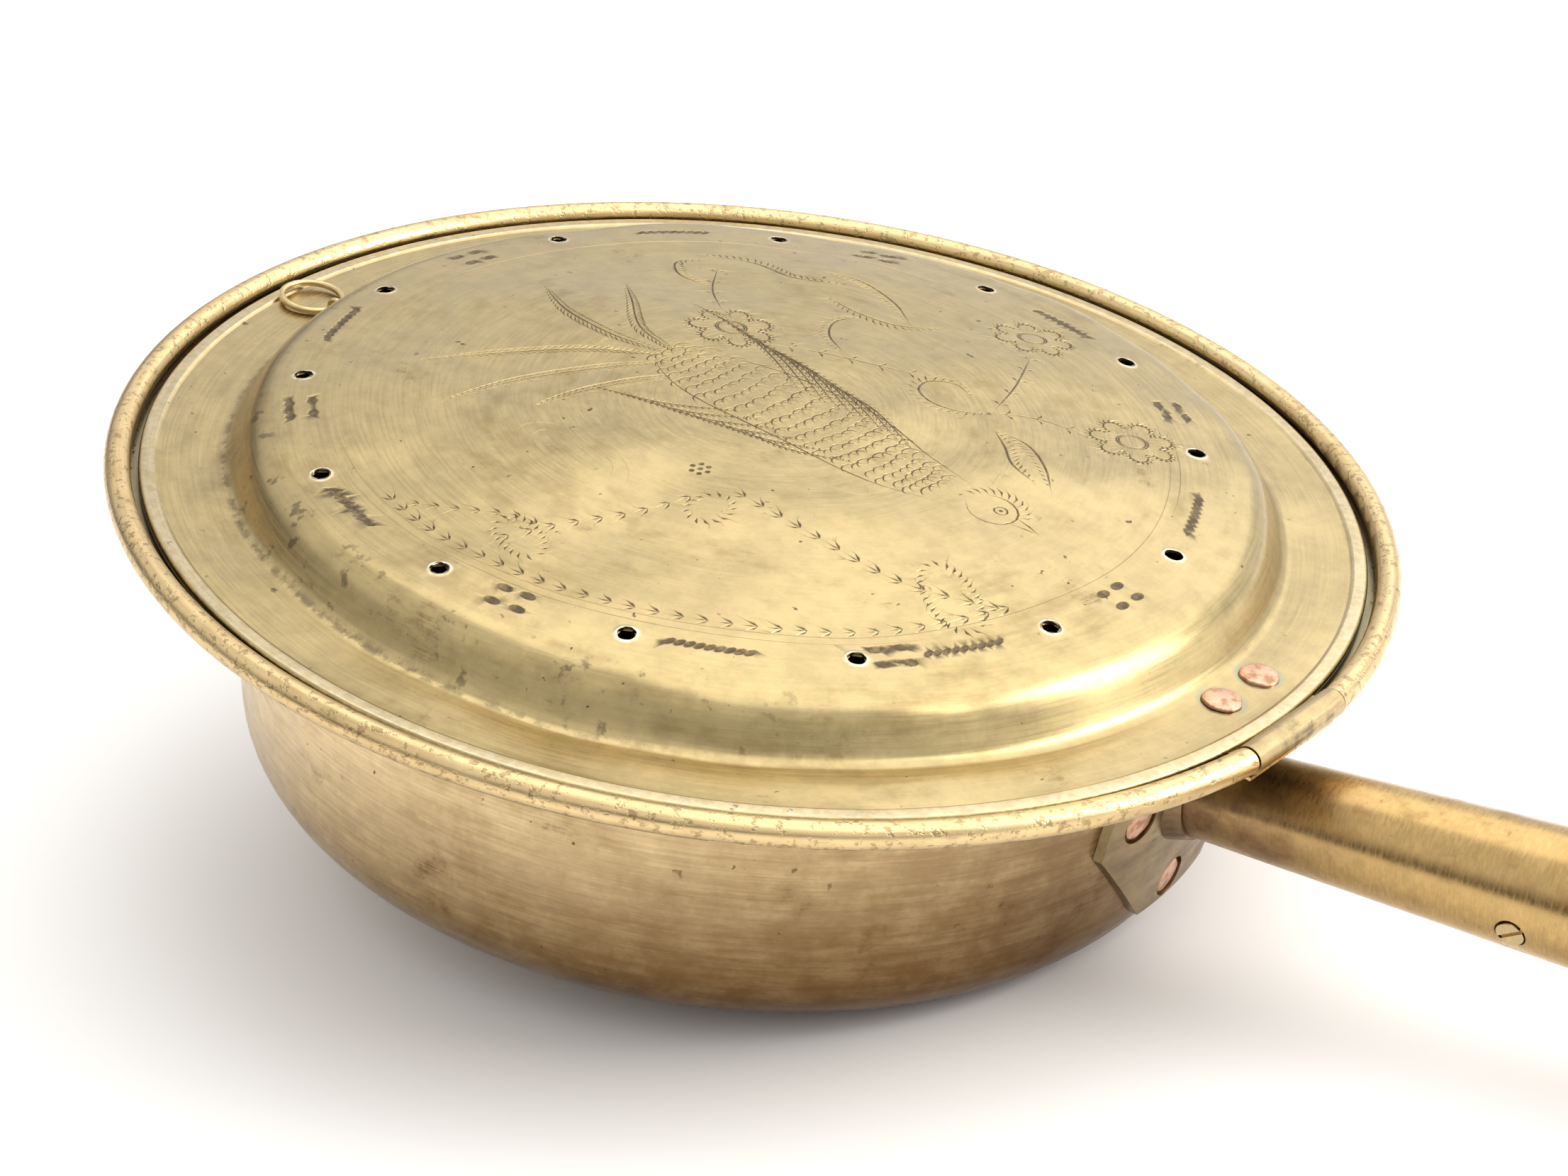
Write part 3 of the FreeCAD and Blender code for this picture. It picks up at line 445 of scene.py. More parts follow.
def leaf_scrolls(work):
    """Leafy stems that join the flowers and fill the ground behind the bird."""
    curls = (((30, 42), (24, 44), (19, 40), (20, 34), (26, 31), (33, 33), (38, 38)),
             ((44, 31), (50, 26), (56, 20), (64, 17)), ((46, 32), (54, 31), (62, 25), (68, 18)),
             ((-4, 36), (-12, 42), (-16, 50), (-14, 58)), ((-52, 46), (-62, 47), (-68, 54), (-64, 61)),
             ((-66, 63), (-54, 68), (-40, 66), (-28, 72)), ((-36, 76), (-26, 78), (-14, 74), (-4, 66)),
             ((2, 70), (-6, 62), (-16, 60), (-26, 62)))
    for index, curl in enumerate(curls):
        feather(work, curl, 3.6, (1 if index % 2 else -1,), 1.8, 125, 0.55)
    stems = (((38, 38), (48, 46), (58, 50)), ((38, 40), (34, 56), (27, 74)), ((-18, 27), (0, 34), (18, 42)),
             ((-40, 35), (-50, 45), (-58, 58)))
    for stem in stems:
        points = smooth(stem, 5)
        work.groove(points, 0.55, 0.15)
        for centre, way in evenly(points, 7.5):
            for side in (60, -60):
                out = turned(way, side)
                work.groove([centre, centre + out * 1.6 + way * 0.4, centre + out * 3.1], 0.7, 0.2)


def punched_lines(work):
    """Chains of arrow punches, loops, dotted ovals and a small rosette."""
    chain(work, [BORDER + polar(96.9, angle) for angle in range(-112, -18, 3)])
    chain(work, smooth([(-8, -91), (-2, -79), (8, -62), (15, -45)], 5), 5.5)
    chain(work, smooth([(19, -40), (45, -42), (70, -41), (90, -32)], 5), 5.5)
    chain(work, smooth([(-33, -91), (-22, -86), (-10, -80), (-2, -80)], 5), 4.6, 0.8)
    loops = (((78, -38), 11.5, 0.42, 0.62), ((-4, -86), 7.5, 0.5, 0.5), ((20, -49), 5.0, 0.8, 1.4))
    for centre, radius, squeeze, turn in loops:
        for point, way in evenly(ring(centre, radius, 28, squeeze, turn), 1.9):
            out = turned(way, -65)
            work.groove([point, point + out * 1.1, point + out * 2.1 + way * 0.5], 0.7, 0.24)
    for angle in range(0, 360, 60):
        work.pit(Vector((8, -37)) + polar(2.1, angle), 0.8, 0.8, 0, 0.2)
    work.pit((8, -37), 0.8, 0.8, 0, 0.2)
    ovals = (((-17, -52), 17, 0.5, 0.2), ((-17, -52), 12.5, 0.45, 0.2), ((28, -17), 13, 0.36, 0.1),
             ((-22, -50), 7.5, 0.4, 0.2))
    for centre, radius, squeeze, turn in ovals:
        for point, way in evenly(ring(centre, radius, 36, squeeze, turn), 2.1):
            work.groove([point - way * 0.5, point + way * 0.5], 0.55, 0.13)


def border_marks(work):
    """Dot clusters and rows of strokes between the vents, inside scribed circles."""
    for azimuth in (-83, -136.5, 169, 108.5, 50.5, -3.3, -37.3):
        for shift, step in ((-1.7, 2.6), (1.9, 2.4), (-1.9, -2.6), (1.6, -2.8)):
            centre = BORDER + polar(105.9 + step, azimuth + shift * 0.9)
            work.pit(centre, 2.3, 1.35, radians(azimuth + 90), 0.34)
    for azimuth in (-58.6, -111, -162, 138, 78, 21.5, -28.3):
        for index in range(9):
            angle = azimuth + (index - 4) * 1.16
            work.pit(BORDER + polar(106.0, angle), 1.85, 0.95, radians(azimuth + 90 + 38), 0.26)
    for radius, start, end in ((98.9, -150, 62), (101.3, -125, -20), (98.9, 95, 175), (101.3, 20, 48)):
        steps = range(start, end + 1, 3)
        work.groove([BORDER + polar(radius, angle) for angle in steps], 0.34, 0.06)


def engraved_lid():
    """All the decoration on the lid."""
    work = Engraving()
    draw = random.Random(11)
    bird(work, draw)
    flower(work, (-31, 27), 11.5, 7, 10)
    flower(work, (20, 86), 11.0, 7, 30)
    flower(work, (67, 57), 11.5, 7, 55)
    leaf_scrolls(work)
    punched_lines(work)
    border_marks(work)
    return work


# ---- lid mesh

def segment_angles():
    """Azimuths of the mesh lines, with a close pair at each end of the hem's cut."""
    even = [2 * pi * step / 360 for step in range(360)]
    cut = asin(STRAP_CUT / (HEM_INNER + 2))
    pairs = [side * cut + gap - radians(TWIST) for side in (-1, 1) for gap in (-0.0004, 0.0004)]
    return sorted(even + [angle % (2 * pi) for angle in pairs])


ANGLES = segment_angles()


def hex_grid(radius, pitch):
    """Points of a triangular grid inside a circle."""
    rows = ceil(radius / pitch / 0.866)
    grid = (Vector(((column + 0.5 * (row % 2)) * pitch, row * pitch * 0.866))
            for row in range(-rows, rows + 1) for column in range(-rows - 1, rows + 2))
    return [point for point in grid if point.length < radius - pitch * 0.4]


def vent_circles(radius, steps=24):
    """A ring of points round each vent, a little out of round."""
    draw = random.Random(3)
    circles = []
    for centre in vent_centres():
        phase = draw.uniform(0, 6.28)
        circles.append([])
        for angle in (2 * pi * step / steps for step in range(steps)):
            uneven = 1 + 0.045 * sin(2 * angle + phase) + 0.03 * sin(5 * angle + phase)
            circles[-1].append(centre + Vector((cos(angle), sin(angle))) * radius * uneven)
    return circles


def disc(edge_radius, pitch, work=None):
    """Triangulated disc with vents: its points, triangles, rim and vents."""
    points, edges = [], []

    def add_line(line, closed=False):
        first = len(points)
        points.extend(Vector(point) for point in line)
        edges.extend((first + step, first + step + 1) for step in range(len(line) - 1))
        if closed:
            edges.append((first + len(line) - 1, first))
        return range(first, first + len(line))

    rim = add_line([Vector((cos(a), sin(a))) * edge_radius for a in ANGLES], True)
    vents = [add_line(circle, True) for circle in vent_circles(VENT_RADIUS)]
    if work is not None:
        for radius in (2.5, 2.9, 3.3):
            for circle in vent_circles(radius):
                add_line(circle, True)
        for centres, halves, _ in work.grooves:
            ahead = np.gradient(centres, axis=0)
            ahead /= np.linalg.norm(ahead, axis=1)[:, None] + 1e-9
            across = np.stack([-ahead[:, 1], ahead[:, 0]], 1) * halves[:, None]
            for line in (centres, centres + across, centres - across):
                add_line(line)
        for centre, half_length, half_width, turn, _ in work.pits:
            for share, steps in ((1.0, 12), (0.72, 10), (0.38, 7)):
                oval = ring(centre, half_length * share, steps, half_width / half_length, turn)
                add_line(oval[:-1], True)
            add_line([centre])
    points.extend(hex_grid(edge_radius - 1.2, pitch))
    found, _, faces, sources, _, _ = delaunay_2d_cdt(points, edges, [], 0, 1e-4, True)
    index_of = {origin: index for index, origins in enumerate(sources) for origin in origins}
    middles = vent_centres()
    kept = []
    for face in faces:
        middle = sum((found[index] for index in face), Vector((0, 0))) / 3
        if min((middle - vent).length for vent in middles) > VENT_RADIUS * 0.9:
            kept.append(list(face))
    rim, *vents = [[index_of[index] for index in line] for line in (rim, *vents)]
    return np.array([tuple(point) for point in found]), kept, rim, vents


def burr(x, y):
    """Height of the lip that the punch raised round each vent."""
    result = np.zeros_like(x)
    for centre in vent_centres():
        away = np.hypot(x - centre.x, y - centre.y) - VENT_RADIUS
        result += 0.16 * np.exp(-((away - 0.2) / 0.45) ** 2) * (away < 3)
    return result


def lid_mesh():
    """Points, faces and painted values of the whole lid, in the lid's frame."""
    work = engraved_lid()
    top, top_faces, top_rim, top_vents = disc(CROWN_EDGE, 3.6, work)
    low, low_faces, low_rim, low_vents = disc(UNDER_EDGE, 7.0)
    x, y = top.T
    radius = np.hypot(x, y)
    cut = work.depth(x, y)
    cut[top_rim] = 0
    uneven = unevenness(x, y)[0]
    lip = burr(x, y)
    verts = [np.stack([x, y, crown_height(radius) + uneven - cut + lip], 1)]
    paint = [np.stack([np.clip(cut / 0.16, 0, 1), np.clip(lip / 0.16, 0, 1), np.zeros(len(x))])]
    x, y = low.T
    under = crown_height(np.hypot(x, y), CROWN_CURVE - SHEET) + unevenness(x, y)[0]
    verts.append(np.stack([x, y, under], 1))
    paint.append(np.zeros((3, len(x))))
    start_low = len(top)
    faces = [list(face) for face in top_faces]
    faces += [[start_low + index for index in reversed(face)] for face in low_faces]
    for upper, lower in zip(top_vents, low_vents):
        for step in range(len(upper)):
            after = (step + 1) % len(upper)
            faces.append([upper[after], upper[step], start_low + lower[step], start_low + lower[after]])

    outline = lid_outline()
    angles = np.array(ANGLES)
    round_hinge = angles + radians(TWIST)
    count = len(top) + len(low)
    rings = [top_rim]
    for radius, height in outline[1:-1]:
        x, y = radius * np.cos(angles), radius * np.sin(angles)
        fade = np.clip((HEM_INNER - radius) / 22, 0.0, 1) ** 0.5
        heights = height + unevenness(x, y)[0] * fade
        strap = (np.abs(np.sin(round_hinge)) < STRAP_CUT / (HEM_INNER + 2)) & (x > 0)
        if radius > HEM_INNER - 0.6:
            heights = np.where(strap, np.maximum(heights, FLANGE_TOP - SHEET), heights)
        verts.append(np.stack([x, y, heights], 1))
        worn = 0.3 if height > HEM_TOP - 0.15 and radius > HEM_INNER else 0.0
        creased = exp(-(radius - CREASE_RADIUS) ** 2) if height > FLANGE_TOP - 0.2 else 0.0
        paint.append(np.outer((0.0, worn, creased), np.ones(len(angles))))
        rings.append(list(range(count, count + len(angles))))
        count += len(angles)
    rings.append([start_low + index for index in low_rim])
    for inner, outer in zip(rings, rings[1:]):
        for step in range(len(angles)):
            after = (step + 1) % len(angles)
            faces.append([inner[step], outer[step], outer[after], inner[after]])
    painted = dict(zip(("engraved", "wear", "crease"), np.concatenate(paint, 1)))
    return np.concatenate(verts), faces, painted


def shown(name, data):
    """A new object in the scene."""
    thing = bpy.data.objects.new(name, data)
    bpy.context.scene.collection.objects.link(thing)
    return thing


def build_mesh(name, verts, faces, where, painted=None):
    """Mesh object in the row frame, with doubles and loose points gone."""
    mesh = bpy.data.meshes.new(name)
    mesh.from_pydata([tuple(point) for point in verts], [], faces)
    for key, values in (painted or {}).items():
        mesh.attributes.new(key, "FLOAT", "POINT").data.foreach_set("value", values.astype(np.float32))
    shape = bmesh.new()
    shape.from_mesh(mesh)
    bmesh.ops.remove_doubles(shape, verts=shape.verts, dist=2e-4)
    bmesh.ops.delete(shape, geom=[vert for vert in shape.verts if not vert.link_faces], context="VERTS")
    bmesh.ops.recalc_face_normals(shape, faces=shape.faces)
    shape.to_mesh(mesh)
    shape.free()
    mesh.transform(where)
    mesh.shade_smooth()
    mesh.set_sharp_from_angle(angle=radians(38))
    return shown(name, mesh)


def read(collection, key, width=1, kind=float):
    """One property of every item of a mesh collection, as an array."""
    values = np.zeros(len(collection) * width, kind)
    collection.foreach_get(key, values)
    return values


def crown_normals(mesh):
    """True normals on the crown, flat ones in its cuts, the mesh's own elsewhere."""
    back = LID.inverted()
    co = read(mesh.vertices, "co", 3).reshape(-1, 3)
    x, y, z = (co @ np.array(back.to_3x3()).T + np.array(back.translation)).T
    radius = np.minimum(np.hypot(x, y), CROWN_EDGE)
    height, slope_x, slope_y = unevenness(x, y)
    fall = 1 / np.sqrt(CROWN_CURVE ** 2 - radius ** 2)
    normals = np.stack([x * fall - slope_x, y * fall - slope_y, np.ones(len(co))], 1)
    normals = normals @ np.array(LID.to_3x3()).T
    normals /= np.linalg.norm(normals, axis=1)[:, None]
    crown = (np.hypot(x, y) < CROWN_EDGE + 0.01) & (z > RIM_HEIGHT + 8)
    crown &= z > crown_height(radius) + height - 0.55
    totals = read(mesh.polygons, "loop_total", 1, int)
    flats = read(mesh.polygons, "normal", 3).reshape(-1, 3)
    corners = read(mesh.loops, "vertex_index", 1, int)
    face_of = np.repeat(np.arange(len(totals)), totals)
    deepest, rimmed = np.zeros(len(totals)), np.zeros(len(totals))
    for most, key in ((deepest, "engraved"), (rimmed, "wear")):
        np.maximum.at(most, face_of, read(mesh.attributes[key].data, "value")[corners])
    inside = np.ones(len(totals), bool)
    np.logical_and.at(inside, face_of, crown[corners])
    custom = np.where((inside & (rimmed < 0.02))[face_of][:, None], normals[corners], 0)
    groove = (inside & (deepest > 0.02))[face_of]
    custom[groove] = flats[face_of[groove]]
    mesh.normals_split_custom_set([tuple(normal) for normal in custom])


# ---- materials

class Net:
    """Short calls that build one node tree, and the surface so far."""

    def __init__(self, tree):
        self.tree = tree
        self.colour = self.roughness = self.height = None

    def add(self, kind, inputs=(), **settings):
        """A new node; inputs are (socket, value or output) pairs."""
        node = self.tree.nodes.new(kind)
        for key, setting in settings.items():
            setattr(node, key, setting)
        for key, given in inputs:
            socket = node.inputs[key]
            if isinstance(given, bpy.types.NodeSocket):
                self.tree.links.new(given, socket)
            else:
                socket.default_value = (*given, 1.0) if socket.type == "RGBA" else given
        return node

    def math(self, operation, first, second=0.0):
        """Output of a Math node."""
        return self.add("ShaderNodeMath", [(0, first), (1, second)], operation=operation).outputs[0]

    def times(self, product, *factors):
        """Product of values."""
        for factor in factors:
            product = self.math("MULTIPLY", product, factor)
        return product

    def plus(self, first, second):
        """Sum of two values."""
        return self.math("ADD", first, second)

    def mixed(self, first, share, second, other_share):
        """Sum of two values, each times its share."""
        return self.plus(self.times(first, share), self.times(second, other_share))

    def vector(self, operation, output, *given):
        """Output of a Vector Math node."""
        return self.add("ShaderNodeVectorMath", enumerate(given), operation=operation).outputs[output]

    def join(self, *parts):
        """Vector of three values."""
        return self.add("ShaderNodeCombineXYZ", enumerate(parts)).outputs[0]

    def span(self, source, low, high, to_low=0.0, to_high=1.0):
        """A value carried smoothly from one range to another."""
        pairs = [("Value", source), ("From Min", low), ("From Max", high),
                 ("To Min", to_low), ("To Max", to_high)]
        return self.add("ShaderNodeMapRange", pairs, interpolation_type="SMOOTHSTEP").outputs[0]

    def noise(self, vector, scale, detail, rough, w=None):
        """Value of a 3D noise, or of a 4D one if w is given."""
        pairs = [("Vector", vector), ("Scale", scale), ("Detail", detail), ("Roughness", rough)]
        if w is None:
            return self.add("ShaderNodeTexNoise", pairs).outputs["Fac"]
        return self.add("ShaderNodeTexNoise", pairs + [("W", w)], noise_dimensions="4D").outputs["Fac"]

    def blend(self, share, first, second, mode="MIX"):
        """Colour between two colours."""
        pairs = [(0, share), (6, first), (7, second)]
        return self.add("ShaderNodeMix", pairs, data_type="RGBA", blend_type=mode).outputs[2]

    def coat(self, share, colour, strength=1.0):
        """Covers a share of the surface with another colour."""
        self.colour = self.blend(self.times(share, strength), self.colour, colour)

    def painted(self, name):
        """A value painted on the mesh's points."""
        return self.add("ShaderNodeAttribute", attribute_name=name).outputs["Fac"]

    def local(self, where):
        """Millimetres in a sub-part's own frame: the vector and x, y, z."""
        source = self.add("ShaderNodeTexCoord").outputs["Object"]
        moved = self.vector("SUBTRACT", 0, source, tuple(where.translation))
        axes = [self.vector("DOT_PRODUCT", "Value", moved, tuple(axis / MM / MM))
                for axis in where.to_3x3().transposed()]
        return self.join(*axes), axes

    def polar(self, axes, turns, fine):
        """Seamless coordinates for long streaks round the axis and fine lines across."""
        x, y, z = axes
        radius = self.math("SQRT", self.plus(self.times(x, x), self.times(y, y)))
        safe = self.math("MAXIMUM", radius, 0.01)
        around = [self.times(self.math("DIVIDE", axis, safe), turns) for axis in (x, y)]
        return self.join(*around, self.times(z, fine)), self.times(radius, fine), radius

    def surface(self, strength, depth, metallic=1.0):
        """Gives the shader the colour, the roughness and a bump."""
        shader = self.tree.nodes["Principled BSDF"]
        pairs = [("Height", self.height), ("Strength", strength), ("Distance", depth)]
        bump = self.add("ShaderNodeBump", pairs).outputs[0]
        for key, end in (("Base Color", self.colour), ("Roughness", self.roughness), ("Normal", bump)):
            self.tree.links.new(end, shader.inputs[key])
        shader.inputs["Metallic"].default_value = metallic
        return shader


def material(name):
    """A new material and its node helper."""
    made = bpy.data.materials.new(name)
    made.use_nodes = True
    return made, Net(made.node_tree)


def brass(name, where, bright, dull, stain, wear, extra=None):
    """Old brass: brushed lines, cloudy tarnish, brown stains and dark specks."""
    tarnish, stains, specks, rough, brushed = wear
    made, net = material(name)
    vector, axes = net.local(where)
    around, across, radius = net.polar(axes, 5.0, 1.6)
    lines = net.noise(around, 1.0, 4.0, 0.62, across)
    broad_around, broad_across, _ = net.polar(axes, 4.0, 0.16)
    bands = net.noise(broad_around, 1.0, 4.0, 0.6, broad_across)
    cloud, patch, grain, fleck, mottle = [net.noise(vector, *look) for look in (
        (0.02, 6.0, 0.62), (0.055, 7.0, 0.68), (1.1, 3.0, 0.7), (0.34, 2.5, 0.5), (0.16, 5.0, 0.7))]

    tarnished = net.mixed(cloud, 0.5, bands, 0.5)
    tarnished = net.span(tarnished, 0.60 - 0.22 * tarnish, 0.78 - 0.22 * tarnish)
    net.colour = net.blend(tarnished, bright, dull)
    stained = net.mixed(patch, 0.75, lines, 0.25)
    stained = net.span(stained, 0.64 - 0.14 * stains, 0.75 - 0.14 * stains)
    net.coat(stained, stain, 0.8)
    speck = net.times(net.span(fleck, 0.76 - 0.08 * specks, 0.79 - 0.08 * specks),
                        net.span(patch, 0.42, 0.58))
    net.coat(speck, (0.05, 0.033, 0.02), 0.85)
    streak = net.span(lines, 0.3, 0.72, 1.0 - 0.34 * brushed, 1.0 + 0.1 * brushed)
    for shade in (streak, net.span(mottle, 0.34, 0.68, 1.05, 0.9)):
        net.colour = net.blend(1.0, net.colour, shade, "MULTIPLY")
    net.roughness = net.plus(net.span(lines, 0.25, 0.75, rough - 0.05, rough + 0.07),
                             net.mixed(stained, 0.16, tarnished, 0.07))
    net.height = net.plus(net.mixed(lines, 0.35 * brushed, grain, 0.22), net.times(speck, -0.6))
    if extra:
        extra(net, vector, axes, radius)
    net.surface(0.5, 0.00006)
    return made


def lid_details(net, vector, axes, radius):
    """Dark cuts, worn edges, painted shade along the crease and stained spots."""
    broken = net.noise(vector, 0.5, 3.0, 0.6)
    cut = net.span(net.painted("engraved"), 0.05, 0.7)
    grime = net.times(cut, net.span(broken, 0.3, 0.6, 0.7, 1.0))
    net.coat(grime, (0.105, 0.075, 0.045))
    net.coat(net.painted("wear"), (0.8, 0.73, 0.58), net.span(broken, 0.4, 0.6, 0.45, 1.0))
    facing = net.mixed(axes[1], -0.86, axes[0], -0.5)
    side = net.plus(net.times(net.span(facing, 50, 122), 0.85), 0.1)
    thin = net.span(net.noise(vector, 0.22, 5.0, 0.7), 0.44, 0.56)
    # painted shade: a dark line along the dome's crease, stronger on one side of the lid
    line = net.times(net.painted("crease"), thin, side)
    net.coat(line, (0.12, 0.095, 0.065), 0.65)
    verdigris = net.times(net.span(radius, 144.3, 145.3), net.span(broken, 0.35, 0.6))
    net.coat(verdigris, (0.11, 0.12, 0.075), 0.6)
    shoulder = net.times(net.span(radius, 112, 117), net.span(radius, 128, 123))
    blotch = net.span(net.noise(vector, 0.2, 4.0, 0.6), 0.6, 0.68)
    net.coat(net.times(blotch, shoulder, net.span(facing, 10, 80)), (0.1, 0.07, 0.04), 0.65)
    for spot in LID_RIVETS.values():
        middle = Matrix.Rotation(radians(-TWIST), 2) @ Vector(spot)
        across, along = [net.math("SUBTRACT", axis, start) for axis, start in zip(axes, middle)]
        away = net.math("SQRT", net.plus(net.times(across, across), net.times(along, along)))
        net.coat(net.span(away, 6.4, 5.0), (0.3, 0.31, 0.21), net.span(broken, 0.3, 0.6, 0.3, 0.9))
    net.roughness = net.plus(net.roughness, net.mixed(grime, 0.2, line, 0.3))


def pan_details(net, vector, axes, radius):
    """Painted shade low on the wall, browner near the handle, darker inside under the rim, pitted on the roll."""
    broken = net.noise(vector, 0.11, 6.0, 0.68)
    around, across, _ = net.polar(axes, 6.0, 0.5)
    streaks = net.mixed(net.noise(around, 1.0, 5.0, 0.65, across), 0.45, broken, 0.55)
    # browner towards the handle side, below the rim
    browner_towards_handle = net.times(net.span(axes[0], -60, 140, 0.0, 0.85), net.span(axes[2], 70, 66),
                        net.span(streaks, 0.34, 0.6, 0.6, 1.0))
    net.coat(browner_towards_handle, (0.25, 0.145, 0.06))
    # painted shade: the wall darker and browner towards the bottom, standing in for the reflection of the shadowed
    # floor, more so towards the handle
    low = net.times(net.span(axes[2], 62, 2), net.span(streaks, 0.34, 0.62, 0.76, 1.0),
                      net.span(axes[0], -130, 60, 0.5, 1.0))
    net.coat(low, (0.14, 0.066, 0.016))
    roll = net.span(radius, 146.0, 147.6)
    net.coat(roll, (0.5, 0.35, 0.15), 0.5)
    pits = net.times(net.span(net.noise(vector, 0.5, 3.0, 0.7), 0.52, 0.64), roll)
    net.coat(pits, (0.22, 0.145, 0.07), 0.6)
    # darker inside the pan just below the rim
    inside = net.times(net.span(radius, 147.6, 146.2), net.span(axes[2], 71.0, 73.4))
    net.coat(inside, (0.08, 0.085, 0.05), 0.8)
    net.height = net.plus(net.height, net.times(pits, -2.2))


def socket_details(net, vector, axes, radius):
    """Soot near the pan and a rusty streak on the socket tube."""
    broken = net.noise(vector, 0.09, 5.0, 0.65)
    soot = net.times(net.span(axes[2], 34, -16), net.span(broken, 0.3, 0.62, 0.35, 1.0))
    net.coat(soot, (0.15, 0.08, 0.055), 0.85)
    streak = net.times(net.span(axes[2], 66, 86), net.span(broken, 0.48, 0.58))
    net.coat(streak, (0.34, 0.15, 0.05), 0.75)
    net.roughness = net.plus(net.roughness, net.times(soot, 0.12))


def copper_metal():
    """Hammered copper, cloudy and flecked with brown."""
    made, net = material("hammered_copper")
    vector = net.local(LID)[0]
    cloud = net.noise(vector, 0.35, 4.0, 0.6)
    grain = net.noise(vector, 1.8, 3.0, 0.6)
    net.colour = net.blend(net.span(cloud, 0.42, 0.66), (0.66, 0.4, 0.27), (0.4, 0.21, 0.12))
    net.coat(net.span(grain, 0.6, 0.72, 0.0, 0.5), (0.3, 0.17, 0.1))
    net.roughness, net.height = net.span(cloud, 0.3, 0.7, 0.3, 0.46), grain
    net.surface(0.5, 0.00008)
    return made


def iron_metal():
    """Dark wire with brown rust."""
    made, net = material("dark_iron")
    rust = net.span(net.noise(net.local(PAN)[0], 0.4, 5.0, 0.7), 0.46, 0.6)
    net.colour = net.blend(rust, (0.1, 0.085, 0.075), (0.16, 0.075, 0.035))
    net.roughness, net.height = net.span(rust, 0, 1, 0.42, 0.75), rust
    shader = net.surface(0.6, 0.0001)
    net.tree.links.new(net.span(rust, 0, 1, 0.9, 0.1), shader.inputs["Metallic"])
    return made


def turned_wood():
    """Waxed hardwood: grain along the handle, pores and darker patches."""
    made, net = material("turned_wood")
    vector, axes = net.local(SOCKET)
    long_way = net.join(axes[0], axes[1], net.times(axes[2], 0.035))
    warp = net.noise(long_way, 0.09, 3.0, 0.5)
    rings = net.math("SINE", net.times(net.mixed(axes[0], 0.5, warp, 16.0), 1.5))
    figure = net.noise(long_way, 0.5, 5.0, 0.65)
    pores = net.noise(long_way, 2.6, 2.0, 0.6)
    net.colour = net.blend(net.span(rings, -0.9, 0.9), (0.2, 0.088, 0.038), (0.115, 0.046, 0.020))
    net.coat(net.span(figure, 0.4, 0.66, 0.0, 0.6), (0.27, 0.13, 0.058))
    net.coat(net.span(pores, 0.62, 0.7, 0.0, 0.7), (0.04, 0.018, 0.01))
    worn = net.span(net.noise(vector, 0.02, 3.0, 0.5), 0.4, 0.65)
    net.coat(worn, (0.075, 0.035, 0.018), 0.35)
    net.height = net.plus(net.times(figure, 0.3), net.span(pores, 0.6, 0.7, 0.0, -1.0))
    net.roughness = net.span(figure, 0.3, 0.7, 0.3, 0.46)
    shader = net.surface(0.4, 0.0001, 0.0)
    shader.inputs["Coat Weight"].default_value = 0.25
    shader.inputs["Coat Roughness"].default_value = 0.3
    return made


# ---- pieces

def dress(piece, finish):
    """Gives a piece or a CAD node one finished material."""
    piece.data.materials.clear()
    piece.data.materials.append(finish)


def new_piece(piece, body, slot, finish, *nodes):
    """A finished piece that rides on a body in place of CAD nodes."""
    dress(piece, finish)
    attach(piece, body)
    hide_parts(*nodes)


def hammered_rivet(name, where, body, seed):
    """Rivet with a head beaten into flats, in a frame whose Z leaves the head."""
    head, grip, tail_rise = RIVET_SIZES[body]
    draw = random.Random(seed)
    profile = [(head * share, RIVET_RISE * (1 - 0.12 * share ** 2)) for share in (0.2, 0.4, 0.6, 0.75, 0.86)]
    profile += [(head * 0.945, RIVET_RISE * 0.8), (head * 0.99, RIVET_RISE * 0.52), (head, RIVET_RISE * 0.3),
                (head, 0), (RIVET_SHANK, 0), (RIVET_SHANK, -grip), (RIVET_TAIL, -grip),
                (RIVET_TAIL, -grip - tail_rise * 0.5), (RIVET_TAIL * 0.85, -grip - tail_rise)]
    flats = [(draw.uniform(0, 2 * pi), draw.uniform(0.02, 0.09), draw.uniform(0.0, 0.14))
             for _ in range(6)]
    phase = draw.uniform(0, 2 * pi)
    steps = 44
    verts = []
    for radius, height in profile:
        for step in range(steps):
            angle = 2 * pi * step / steps
            wander = 0.022 * sin(3 * angle + phase) + 0.014 * sin(7 * angle + 2 * phase)
            reach = radius * (1 - 0.03 + wander) if radius > RIVET_TAIL else radius
            x, y, z = reach * cos(angle), reach * sin(angle), height
            for turn, lean, drop in flats if height > 0.2 else ():
                tilt = lean * (x * cos(turn) + y * sin(turn))
                z = min(z, max(height - drop - tilt + 0.1, height * 0.72))
            verts.append((x, y, z))
    top, end = len(verts), len(verts) + 1
    verts += [(0, 0, RIVET_RISE * 0.98), (0, 0, profile[-1][1])]
    last = (len(profile) - 1) * steps
    faces = []
    for step in range(steps):
        after = (step + 1) % steps
        faces += [(top, step, after), (end, last + after, last + step)]
        faces += [(first + step, first + steps + step, first + steps + after, first + after)
                  for first in range(0, last, steps)]
    piece = build_mesh(name + "_hammered", verts, faces, where)
    piece.data.set_sharp_from_angle(angle=radians(26))
    return piece


def make_lid(finish):
    """The engraved lid in place of the plain one."""
    verts, faces, painted = lid_mesh()
    piece = build_mesh("engraved_lid", verts, faces, LID, painted)
    crown_normals(piece.data)
    new_piece(piece, "lid", "lid_brass", finish, "lid_cover")


def plate_place(across, height):
    """Matrix at a point of the handle plate's face, with Z square to the wall."""
    radius = PLATE_FACE + height * tan(WALL_LEAN)
    return (PAN @ Matrix.Rotation(asin(across / radius), 4, "Z")
            @ Matrix.Translation((radius, 0, height)) @ Matrix.Rotation(pi / 2 + WALL_LEAN, 4, "Y"))


